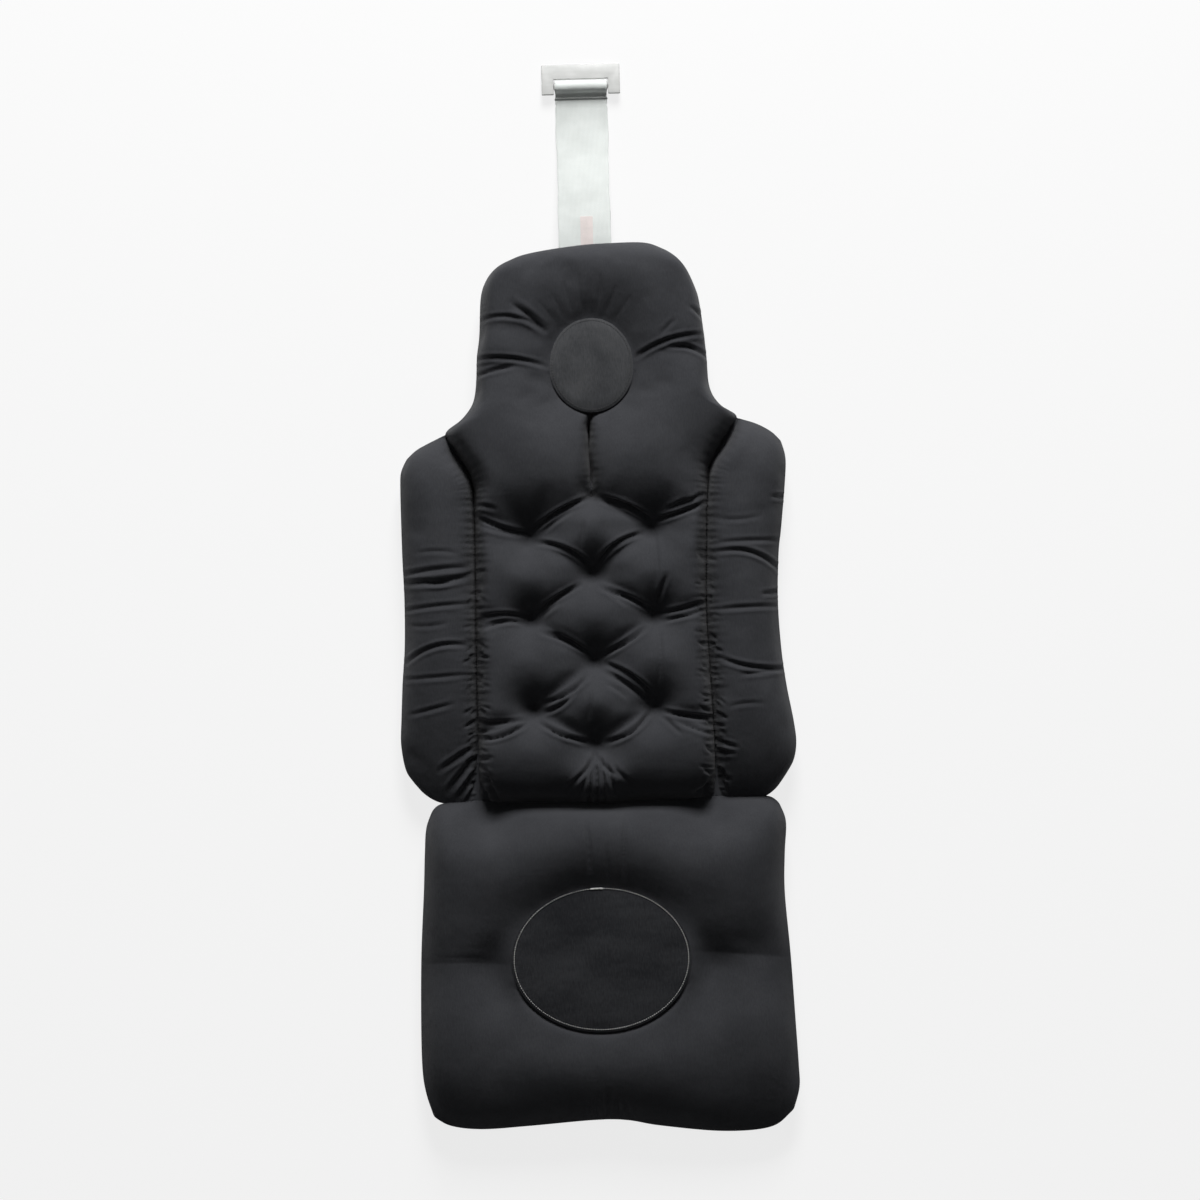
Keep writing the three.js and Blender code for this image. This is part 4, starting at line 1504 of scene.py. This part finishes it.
# Numbers of the tufts that a plain valley joins, two by two.
VALLEYS = ((4, 1), (1, 7), (5, 1), (1, 8), (5, 2), (2, 8), (6, 2), (2, 9), (6, 3), (3, 9))
BACK_TUCKS: tuple[Tuck, ...] = (
    *(Tuck(TUFTS[first], TUFTS[second]) for first, second in VALLEYS),
    Tuck((-60, 59), (-1, 96), middle=0.3, last=0.2, above=70, below=20, spans=(1.0, 0.4)),
    Tuck((-1, 96), (56, 64), first=0.24, middle=0.4, above=66, below=20, spans=(0.45, 1.0)),
    Tuck((-114, 80), (-60, 59), first=0.06, middle=0.26, above=70, below=20, spans=(0.4, 1.0)),
    Tuck((56, 64), (109, 88), middle=0.28, last=0.06, above=66, below=20, spans=(1.0, 0.4)),
    Tuck((-112, 222), (-42, 222), 0.1, 0.12, 0.12, 26, 66),
    Tuck((46, 229), (116, 238), 0.12, 0.12, 0.1, 26, 66),
    Tuck((-104, 263), (-46, 256), 0.06, 0.08, 0.08, 20, 34),
    Tuck((-115, 104), (-140, 158), 0.2, 0.38, 0.38, 28, 28),
    Tuck((112, 104), (142, 167), 0.2, 0.5, 0.5, 64, 64),
    Tuck((-115, -22), (-62, -20), first=0.1, middle=0.22),
    Tuck((57, -20), (107, -12), middle=0.22, last=0.1),
    Tuck((-115, -130), (-61, -107), first=0.15, middle=0.28),
    Tuck((55, -107), (111, -126), middle=0.28, last=0.15),
    Tuck((0, 178), (-1, 96), 0.5, 0.34, 0.55, 30, 30),
    Tuck((-3, -141), (-2, -200), 0.6, 0.2, 0.08, 20, 20),
    Tuck((-116, -198), (-106, -199), 0.8, 0.75, 0.6, 24, 24),
    Tuck((102, -199), (112, -198), 0.6, 0.75, 0.8, 24, 24),
)
BACK_COLUMNS, BACK_ROWS = 50, 122
# The gather runs down the middle column of the grid, from the inset to the first tuft.
BACK_MIDDLE = BACK_PATTERN.lay(BACK_COLUMNS, BACK_ROWS)[::-1, BACK_COLUMNS // 2]
GATHER = Slit(Edge(tuple((float(x), float(y)) for x, y in BACK_MIDDLE if 94.0 < y < 177.0)), 27.0, 2.4, 0.03)
HEAD_GROOVE = Slit(Edge(arc((3.0, 221.0), (41.5, 46.5), 190.0, 350.0)), 4.0, 1.8, 0.03)
SEAT_GROOVE = Slit(Edge(arc((-3.0, -348.0), (87.5, 71.5), 202.0, 338.0)), 4.6, 2.2, 0.03)
# Creases, each with its ends, bow, depth, width and lip.
BACK_FOLDS: tuple[Fold, ...] = (
    Fold((-22, 266), (-33, 290), 0, 0.7, 1.9, 0.1), Fold((-13, 270), (-21, 300), 1, 0.9, 1.8, 0.1),
    Fold((-4, 271), (-7, 309), 1, 1.0, 1.7, 0.1), Fold((2, 271), (3, 300), 0, 0.7, 1.6, 0.1),
    Fold((9, 271), (14, 308), -1, 1.0, 1.8, 0.1), Fold((18, 269), (29, 296), 0, 0.8, 1.9, 0.1),
    Fold((27, 264), (44, 288), 0, 0.6, 2.0, 0.1), Fold((-29, 261), (-47, 284), 0, 0.7, 2.0, 0.1),
    Fold((-57, 64), (-3, 93), 3, 6.5), Fold((-48, 62), (-14, 84), 2, 3),
    Fold((8, 94), (56, 71), 2.5, 6.5), Fold((6, 91), (29, 82), 1, 3.5),
    Fold((-111, 78), (-61, 61), -2.5, 6), Fold((-111, 72), (-63, 59), -2, 4),
    Fold((-109, 90), (-92, 85), 0, 2),
    Fold((58, 70), (108, 86), -1, 6), Fold((72, 80), (92, 90), 0, 3), Fold((82, 83), (107, 95), -1, 3),
    Fold((-56, 52), (-2, 27), 6, 5.5), Fold((1, 27), (47, 58), 6, 5.5),
    Fold((-56, -16), (-13, 10), 2, 6), Fold((-52, -19), (-31, -4), 1, 3),
    Fold((6, 7), (54, -15), 2, 6), Fold((11, 4), (29, -9), 1, 3),
    Fold((-111, -19), (-63, -21), 4, 4), Fold((-109, -30), (-65, -25), 5, 4),
    Fold((62, -19), (106, -9), -1, 4), Fold((65, -26), (105, -17), 0, 4),
    Fold((-52, -34), (-5, -56), 2, 5.5), Fold((-42, -34), (-16, -48), 1, 3),
    Fold((5, -58), (48, -33), -1, 6),
    Fold((9, -66), (53, -97), 4, 6), Fold((6, -74), (47, -102), 3, 3), Fold((9, -85), (29, -100), 2, 2),
    Fold((-50, -102), (-9, -77), -3, 5.5), Fold((-52, -111), (-20, -88), -4, 4.5),
    Fold((-112, -119), (-65, -117), -1, 3), Fold((-113, -135), (-67, -120), -3, 6),
    Fold((60, -112), (109, -120), -1, 6), Fold((75, -122), (109, -136), 0, 3.5),
    Fold((60, -116), (80, -135), 0, 2),
    Fold((-56, -121), (-8, -141), -2, 6), Fold((7, -141), (51, -112), -5, 6),
    Fold((-8, 73), (-11, 50), 0, 1.5), Fold((58, 59), (59, 10), 2, 1.8, 1.8), Fold((69, 18), (59, -11), 0, 4),
    Fold((60, -34), (59, -86), 2, 2, 1.8), Fold((-6, -95), (-8, -119), 0, 2),
    Fold((-4, -150), (-3, -199), 1, 4, 1.4), Fold((-4, -152), (-24, -178), 2, 3.5),
    Fold((-3, -152), (17, -173), -2, 3.5), Fold((-5, -158), (-11, -199), 0, 4, 1.5),
    Fold((2, -158), (6, -199), 0, 4, 1.5), Fold((-8, -160), (-22, -194), 1, 3.5),
    Fold((7, -158), (17, -194), -1, 3.5), Fold((-16, -168), (-34, -186), 1, 2.2),
    Fold((12, -162), (30, -180), -1, 2.2),
    Fold((-115, -178), (-106, -196), 0, 3), Fold((-110, -172), (-97, -194), 1, 2),
    Fold((-114, -160), (-104, -172), 0, 2),
    Fold((91, -192), (109, -183), 0, 3), Fold((98, -196), (108, -176), 0, 2.5),
    Fold((-102, 266), (-41, 254), 8, 3, 1.6), Fold((-72, 281), (-41, 255), 1, 4, 2.6),
    Fold((-107, 229), (-40, 220), 4, 3.8, 1.6), Fold((-107, 213), (-71, 221), 1, 3, 1.6),
    Fold((46, 227), (108, 247), 5, 4.8), Fold((77, 236), (113, 226), 4, 3.8),
    Fold((98, 274), (111, 262), 1, 2), Fold((84, 262), (70, 248), 0, 1.5),
)
LEFT_BOLSTER_FOLDS: tuple[Fold, ...] = (
    Fold((-183, 24), (-116, 30), 2, 3, 2.0), Fold((-183, 17), (-116, 22), -2, 4.5, 2.2),
    Fold((-160, 16), (-137, 17), -1, 4), Fold((-183, -10), (-117, -5), 1.5, 2.5),
    Fold((-182, -60), (-122, -45), 8, 4), Fold((-185, -76), (-118, -72), 0, 2),
    Fold((-181, -110), (-138, -100), 0, 2),
    Fold((-153, -164), (-116, -141), 1, 4, 2.0), Fold((-146, -185), (-116, -151), 1, 5, 2.2),
    Fold((-136, -191), (-116, -161), 0, 5, 2.0), Fold((-128, -195), (-117, -174), 0, 4, 1.6),
    Fold((-170, 45), (-130, 44), 2, 1.2), Fold((-178, -24), (-140, -22), -2, 1.2),
)
RIGHT_BOLSTER_FOLDS: tuple[Fold, ...] = (
    Fold((172, 90), (186, 90), 0, 2), Fold((116, 47), (179, 48), 1, 2), Fold((116, 38), (178, 20), 9, 4),
    Fold((160, -3), (178, -1), 0, 2), Fold((112, -17), (177, -15), 1, 2.5),
    Fold((118, -63), (181, -74), -4, 4.5), Fold((138, -79), (181, -76), 0, 2.5),
    Fold((110, -141), (132, -149), 0, 3, 1.6), Fold((110, -150), (130, -155), 0, 2.5, 1.6),
    Fold((113, -172), (122, -192), 0, 3),
    Fold((120, 70), (160, 72), -2, 1.2), Fold((125, -110), (160, -108), 2, 1.2),
)
SEAT_FOLDS: tuple[Fold, ...] = (
    Fold((-170, -349), (-92, -352), 2, 0.9, 3.4, 0.1), Fold((-160, -343), (-110, -346), 1, 0.5, 2.6, 0.1),
    Fold((86, -344), (176, -352), 1, 0.9, 3.4, 0.1),
    Fold((-14, -216), (-12, -264), 1, 2.2), Fold((24, -212), (21, -272), -1, 2.4),
    Fold((5, -240), (6, -276), 0, 1.2),
    Fold((-12, -500), (-10, -478), 0, 1.8), Fold((-2, -502), (0, -474), 0, 2.0),
    Fold((10, -502), (9, -480), 0, 1.8), Fold((20, -503), (17, -484), 0, 1.2),
)


@dataclass
class HeadAndBack:
    """The head and back panel with its inset, tufts and seams."""

    crest: float = 43.0
    rolls: Quad = (18.0, 18.0, 56.0, 17.0)
    powers: Quad = (0.5, 0.5, 0.5, 0.65)
    lift: float = 20.0
    patch_half: Point = (40.5, 45.5)
    stitch_half: Point = (37.8, 42.8)
    tack: float = 2.2
    strand: float = 0.5
    strand_turns: Point = (0.5, -0.6)
    seam_radius: float = 1.2
    seam_sink: float = 3.0

    def build(self) -> list[Piece]:
        """Builds and dresses every piece that rides on the back.

        Returns:
            The pieces.
        """
        pleats = Pleats(LEFT_SEAM, 1, 20.0).folds() + Pleats(RIGHT_SEAM, -1, -24.0).folds()
        plan = BackCushion(
            "back_cushion", BACK_PATTERN, BACK_COLUMNS, BACK_ROWS, self.crest, self.rolls,
            BACK_FOLDS + pleats, Stuffing(slack=0.01, bend=0.4, reach=6.0, rub=1),
            (Slit(LEFT_SEAM), Slit(RIGHT_SEAM), GATHER, HEAD_GROOVE), self.powers, (self.lift, self.lift),
            tufts=TUFTS, tucks=BACK_TUCKS,
        )
        cushion = plan.build()
        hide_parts("back_front_cover", "back_fill")
        lining = Lining("back_lining", BACK_PATTERN, 44, 106, dimples=TUFTS).build()
        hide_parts("back_rear_cover")
        pieces = [Finish.CLOTH.dress(cushion), Finish.CLOTH.dress(lining), *self.inset(plan)]
        height = SEAM_HEIGHT + plan.tuft_height
        pieces += [self.tie(number, tuft, height) for number, tuft in enumerate(TUFTS, 1)]
        for name, line in self.seams().items():
            seam = self.seam(name, line)
            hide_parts(name.replace("seam", "welt"))
            pieces.append(Finish.CLOTH.dress(seam))
        for piece in pieces:
            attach(piece, "back")
        return pieces

    def inset(self, plan: BackCushion) -> list[Piece]:
        """Makes the round inset of the head and its stitches.

        Args:
            plan: The cushion that the inset is sewn into.

        Returns:
            The inset and the stitches, dressed.
        """
        base = SEAM_HEIGHT + plan.inset_height
        patch = Patch("head_inset", plan.inset, self.patch_half, base).build()
        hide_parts("head_disc")
        height = base + STITCH_LIFT
        row = StitchRow("head_inset_stitches", plan.inset, self.stitch_half, height, 2.6, 1.7, 0.5)
        stitches = row.build()
        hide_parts("head_disc_stitching")
        return [Finish.LIT_HEAD_CLOTH.dress(patch), Finish.DARK_THREAD.dress(stitches)]

    def tie(self, number: int, tuft: Point, height: float) -> Piece:
        """Makes one tuft's crossed turns of thread.

        Args:
            number: The tuft's number.
            tuft: Its place.
            height: Its height.

        Returns:
            The dressed piece.
        """
        strands = []
        for turn in self.strand_turns:
            bpy.ops.object.select_all(action="DESELECT")
            bpy.ops.mesh.primitive_torus_add(
                major_segments=18, minor_segments=8, major_radius=self.tack * MM,
                minor_radius=self.strand * MM, rotation=(math.pi / 2, 0.0, turn),
            )
            strand = Bench.added("strand")
            bpy.ops.object.transform_apply(location=True, rotation=True, scale=True)
            Bench.move(strand, Matrix.Translation(Vector((*tuft, height - self.tack + 0.9)) * MM))
            strands.append(strand)
        piece = Bench.join(f"tuft_thread_{number:02d}", strands)
        Bench.smooth(piece, 60.0)
        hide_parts(f"tuft_tie_{number:02d}")
        return Finish.DARK_THREAD.dress(piece)

    @staticmethod
    def seams() -> dict[str, Array]:
        """Places along each sewn seam, by the name of its piece."""
        return {
            "fold_seam": BACK_PATTERN.foot.walk(90), "left_bolster_seam": LEFT_SEAM.walk(120),
            "right_bolster_seam": RIGHT_SEAM.walk(120),
        }

    def seam(self, name: str, line: Array) -> Piece:
        """Makes a puckered sewn ridge along a line.

        Args:
            name: The piece's name.
            line: Places along the seam, in millimetres.

        Returns:
            The closed ridge.
        """
        step = np.arange(len(line))
        radius = self.seam_radius * (1.0 + 0.22 * np.sin(2.1 * step + np.sin(0.7 * step)))
        return Bench.tube(name, np.c_[line, np.full(len(line), SEAM_HEIGHT - self.seam_sink)], radius, 8)


@dataclass(frozen=True)
class BolsterCut:
    """What differs from one bolster to the other."""

    pattern: Pattern
    seam: Edge
    folds: tuple[Fold, ...]
    rolls: Quad
    foot_power: float
    lifts: Point


BOLSTER_CUTS = {
    Side.LEFT: BolsterCut(
        LEFT_BOLSTER_PATTERN, LEFT_SEAM, LEFT_BOLSTER_FOLDS, (30.0, 16.0, 155.0, 44.0), 0.95, (0.0, 20.0),
    ),
    Side.RIGHT: BolsterCut(
        RIGHT_BOLSTER_PATTERN, RIGHT_SEAM, RIGHT_BOLSTER_FOLDS, (16.0, 30.0, 100.0, 44.0), 0.85, (20.0, 0.0),
    ),
}


@dataclass
class SideBolster:
    """One side bolster: its stuffed front and its plain rear."""

    side: Side
    crest: float = 36.0
    joint: float = 112.0
    bend: float = 34.0
    pleat_lean: float = 36.0

    def build(self) -> list[Piece]:
        """Builds and dresses the bolster.

        Returns:
            The pieces.
        """
        cut = BOLSTER_CUTS[self.side]
        body = f"{self.side.label}_bolster"
        cushion = PaddedPiece(
            f"{body}_cushion", cut.pattern, 20, 88, self.crest, cut.rolls,
            cut.folds + Pleats(cut.seam, self.side.value, self.pleat_lean).folds(),
            Stuffing(slack=0.005, bend=0.5, reach=6.0), (Slit(cut.seam),), (0.5, 0.5, cut.foot_power, 0.5),
            cut.lifts,
        ).build()
        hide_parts(f"{body}_front_cover", f"{body}_fill")
        lining = Lining(f"{body}_lining", cut.pattern, 20, 80).build()
        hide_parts(f"{body}_rear_cover")
        for piece in (cushion, lining):
            Finish.CLOTH.dress(piece)
            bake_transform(piece)
        return [cushion, lining]


@dataclass
class SeatCushion:
    """The seat with its oval inset and pale topstitching."""

    crest: float = 46.0
    rolls: Quad = (38.0, 38.0, 63.0, 50.0)
    powers: Quad = (0.5, 0.5, 0.75, 0.42)
    joint: float = FOLD_LINE - 1.0
    bend: float = 44.0
    patch_half: Point = (86.0, 70.0)
    stitch_half: Point = (83.6, 67.6)
    knot: float = 92.0

    def build(self) -> list[Piece]:
        """Builds and dresses the seat.

        Returns:
            The pieces.
        """
        plan = SeatPad(
            "seat_cushion", SEAT_PATTERN, 74, 66, self.crest, self.rolls, SEAT_FOLDS,
            Stuffing(slack=0.0, bend=2.0, reach=4.0, rub=8), (SEAT_GROOVE,), self.powers,
        )
        cushion = plan.build()
        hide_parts("seat_front_cover", "seat_fill")
        lining = Lining("seat_lining", SEAT_PATTERN, 72, 62).build()
        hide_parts("seat_rear_cover")
        for piece in (cushion, lining):
            Finish.CLOTH.dress(piece)
            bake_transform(piece)
        base = SEAM_HEIGHT + plan.inset_height
        patch = Finish.SHADED_OVAL_CLOTH.dress(Patch("seat_inset", plan.inset, self.patch_half, base).build())
        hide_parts("seat_oval")
        height = base + STITCH_LIFT
        row = StitchRow("seat_inset_stitches", plan.inset, self.stitch_half, height, knot=self.knot)
        stitches = Finish.PALE_THREAD.dress(row.build())
        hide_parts("seat_oval_stitching")
        for piece in (patch, stitches):
            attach(piece, "seat")
        return [cushion, lining, patch, stitches]


@dataclass
class HangingStrap:
    """The pale strap, its sewn loop and its plain label."""

    width: float = 50.0
    columns: int = 20
    thickness: float = 1.4
    root: Point = (332.0, 22.0)
    fall: float = 136.6
    bar: Point = BAR
    loop: float = 5.05
    tail: float = 3.0
    stitches: int = 17
    label_run: Point = (3.0, 33.0)
    label_across: Point = (-4.0, 8.0)
    label_thickness: float = 0.4

    def line(self) -> Array:
        """Side view of the strap: down to the floor, round the bar and back on itself.

        Returns:
            Places along the strap, as length and height in millimetres.
        """
        share = np.linspace(0.0, 1.0, 40)
        low = self.thickness / 2 + 0.05
        drop = np.c_[self.root[0] + self.fall * share, self.root[1] + (low - self.root[1]) * ease(share)]
        flat = np.c_[np.linspace(self.root[0] + self.fall + 2, self.bar[0] - 2, 50), np.full(50, low)]
        ring = np.array(arc(self.bar, (self.loop, self.loop), -90.0, 160.0, 29))
        top = low + self.thickness + 0.25
        share = np.linspace(0.1, 1.0, 12)[:, None]
        knee = np.array((ring[-1, 0] - 1.2, top))
        end = np.array((ring[-1, 0] - 4.0, top))
        back = ring[-1] * (1 - share) ** 2 + 2 * knee * share * (1 - share) + end * share ** 2
        hem = np.c_[np.linspace(end[0] - 1.0, end[0] - self.tail, 6), np.full(6, top)]
        return np.vstack([drop, flat, ring, back, hem])

    def build(self) -> list[Piece]:
        """Builds and dresses the strap, its stitching and its label.

        Returns:
            The pieces.
        """
        line = self.line()
        band = Finish.WEBBING.dress(self.band(line))
        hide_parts("strap_webbing")
        tack = Finish.PALE_THREAD.dress(self.tack(line[-4]))
        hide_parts("loop_stitching")
        label = Finish.LABEL.dress(self.label(line))
        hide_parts("strap_label")
        flat = self.width * MM, round(float(lengths(line)[-1]) * MM, 3)
        for piece in (band, tack, label):
            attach(piece, "strap")
        return [band, tack, label]

    def band(self, line: Array) -> Piece:
        """Makes the woven band.

        Args:
            line: Its side view.

        Returns:
            The closed band.
        """
        piece, order = Bench.grid("strap_band", self.columns, len(line) - 1)
        across = np.linspace(-0.5, 0.5, self.columns + 1)[None, :]
        step = np.arange(len(line))[:, None]
        sway = 0.35 * np.sin(0.23 * step) + 0.2 * np.sin(0.61 * step + 1.0)
        outer = np.sign(across) * (np.abs(across) > 0.49)
        Bench.spread(piece, order, across * self.width + outer * sway, line[:, :1], line[:, 1:])
        Bench.apply(piece, "SOLIDIFY", thickness=self.thickness * MM, offset=0.0)
        Bench.bevel(piece, 0.45, 2, 60.0)
        Bench.smooth(piece, 50.0)
        return piece

    def tack(self, spot: Array) -> Piece:
        """Makes the row of stitches that holds the loop.

        Args:
            spot: Place of the row in the side view.

        Returns:
            All the stitches as one piece.
        """
        row = StitchRow("strap_loop_stitches", pitch=2.6, length=1.9, thickness=0.6)
        height = spot[1] + self.thickness / 2 + 0.15
        steps = np.arange(self.stitches) - self.stitches // 2
        places = [Matrix.Translation(Vector((step * row.pitch, spot[0], height)) * MM) for step in steps]
        return Bench.repeat(row.name, row.stitch(), places)

    def label(self, line: Array) -> Piece:
        """Makes the plain label that lies on the strap by its seam.

        Args:
            line: The strap's side view.

        Returns:
            The closed label.
        """
        steps = np.linspace(*self.label_run, 25)
        path = np.stack([np.interp(steps, lengths(line), line[:, axis]) for axis in (0, 1)], 1)
        slope = np.gradient(path, axis=0)
        normal = np.c_[-slope[:, 1], slope[:, 0]] / np.linalg.norm(slope, axis=1, keepdims=True)
        path = path + normal * (self.thickness / 2 + 0.35)
        piece, order = Bench.grid("strap_tape_label", 8, len(path) - 1)
        Bench.spread(piece, order, np.linspace(*self.label_across, 9), path[:, :1], path[:, 1:])
        Bench.apply(piece, "SOLIDIFY", thickness=self.label_thickness * MM, offset=0.0)
        Bench.smooth(piece, 50.0)
        return piece


@dataclass
class HookPlate:
    """The slotted plate that hooks over the bath's rim."""

    half: float = 37.7
    leg: float = 11.5
    tail: float = 8.2
    slot_top: float = 7.0
    reach: float = 21.5
    thickness: float = 3.0
    bar: Point = BAR
    bar_radius: float = 3.9
    bar_lap: float = 1.5
    tilt: float = 11.62
    edge: float = 0.7

    def build(self) -> list[Piece]:
        """Builds and dresses the plate with the bar that carries the strap.

        Returns:
            The one piece.
        """
        piece = Bench.join("hook_slotted_plate", [self.plate(), self.rod()])
        turn = Matrix.Rotation(-math.radians(self.tilt), 4, "X")
        Bench.move(piece, Matrix.Translation(Vector((0.0, *self.bar)) * MM) @ turn)
        Bench.smooth(piece, 40.0)
        Finish.PLASTIC.dress(piece)
        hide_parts("hook_plate")
        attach(piece, "hook")
        return [piece]

    def plate(self) -> Piece:
        """Makes the plate, open at its tail where the bar goes.

        Returns:
            The closed plate, level and with the bar's middle at the origin.
        """
        piece, order = Bench.grid("hook_slotted_plate", 3, 2)
        across = -self.half, self.leg - self.half, self.half - self.leg, self.half
        along = np.array((-self.tail, self.slot_top, self.reach))[:, None]
        Bench.spread(piece, order, across, along, -self.thickness / 2)
        Bench.edit(piece, "FACE", "DESELECT")
        bpy.ops.object.mode_set(mode="OBJECT")
        for face in piece.data.polygons:
            face.select = abs(face.center.x) < 0.001 and face.center.y < self.slot_top * MM
        bpy.ops.object.mode_set(mode="EDIT")
        bpy.ops.mesh.delete(type="FACE")
        bpy.ops.mesh.select_all(action="SELECT")
        bpy.ops.mesh.extrude_region_move(TRANSFORM_OT_translate={"value": (0.0, 0.0, self.thickness * MM)})
        bpy.ops.mesh.select_all(action="SELECT")
        bpy.ops.mesh.normals_make_consistent(inside=False)
        bpy.ops.mesh.dissolve_limited(angle_limit=math.radians(1.0))
        bpy.ops.object.mode_set(mode="OBJECT")
        Bench.bevel(piece, self.edge, 3, 40.0)
        return piece

    def rod(self) -> Piece:
        """Makes the round bar that the strap is looped on.

        Returns:
            The closed bar, its middle at the origin.
        """
        inner = self.half - self.leg + self.bar_lap
        ends = np.linspace(-inner, inner, 24)
        radius = np.where(np.abs(ends) < inner, self.bar_radius, 0.0)
        return Bench.tube("rod", np.c_[ends, np.zeros(24), np.zeros(24)], radius, 20)


@dataclass
class Studio:
    """Pale floor, soft light from beyond the head, and a camera straight above."""

    floor_size: float = 12.0
    floor_drop: float = 0.6
    room_level: float = 0.035
    lens: float = 200.0
    sensor: float = 36.0
    frame_width: float = 1153.8
    look_at: Point = (5.0, -4.4)
    lean: float = -1.57

    def build(self) -> None:
        """Sets up the floor, the lights and the camera."""
        bpy.context.scene.view_settings.view_transform = "Standard"
        self.floor()
        self.lamp("key_light", (0.15, 2.7, 1.7), 1.1, 134.0)
        self.lamp("fill_light", (-0.8, 0.2, 3.4), 2.0, 3.5)
        self.sky()
        self.camera()

    def floor(self) -> None:
        """Lays the floor."""
        bpy.ops.object.select_all(action="DESELECT")
        bpy.ops.mesh.primitive_plane_add(size=self.floor_size, location=(0.0, 0.0, 0.0))
        piece = Bench.added("floor")
        Bench.move(piece, Matrix.Translation((0.0, 0.0, -self.floor_drop * MM)))
        piece.data.materials.append(PaleFloor().make())

    @staticmethod
    def lamp(name: str, spot: Sequence[float], size: float, power: float) -> None:
        """Hangs one soft lamp that points at the pillow's middle.

        Args:
            name: The lamp's name.
            spot: Where it hangs, in metres.
            size: Side of its square face.
            power: Watts.
        """
        data = bpy.data.lights.new(name, "AREA")
        data.size = size
        data.energy = power
        lamp = bpy.data.objects.new(name, data)
        bpy.context.scene.collection.objects.link(lamp)
        lamp.location = spot
        lamp.rotation_euler = (-Vector(spot)).to_track_quat("-Z", "Y").to_euler()

    def sky(self) -> None:
        """Lights the room evenly, and shows white behind the floor."""
        world = bpy.data.worlds.new("room")
        bpy.context.scene.world = world
        nodes = FinishNodes(world, "ShaderNodeOutputWorld")
        room = nodes.add("ShaderNodeBackground", {}, {"Color": WHITE, "Strength": self.room_level})
        white = nodes.add("ShaderNodeBackground", {}, {"Color": WHITE})
        nodes.blend(nodes.seen(), room, white)

    def camera(self) -> None:
        """Hangs the camera above the pillow, looking straight down."""
        data = bpy.data.cameras.new("camera")
        data.lens = self.lens
        data.sensor_width = self.sensor
        height = SEAM_HEIGHT + self.frame_width * self.lens / self.sensor
        camera = bpy.data.objects.new("camera", data)
        bpy.context.scene.collection.objects.link(camera)
        camera.location = Vector((*self.look_at, height)) * MM
        camera.rotation_euler = (0.0, 0.0, math.radians(self.lean))
        bpy.context.scene.camera = camera


def main() -> None:
    """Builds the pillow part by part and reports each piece."""
    logging.basicConfig(level=logging.INFO, format="%(name)s: %(message)s")
    Studio().build()
    bolsters = [SideBolster(side) for side in Side]
    for part in (HeadAndBack(), *bolsters, SeatCushion(), HangingStrap(), HookPlate()):
        for piece in part.build():
            LOG.info("%s: %d faces", piece.name, len(piece.data.polygons))
    bpy.context.view_layer.update()


if __name__ == "__main__":
    main()
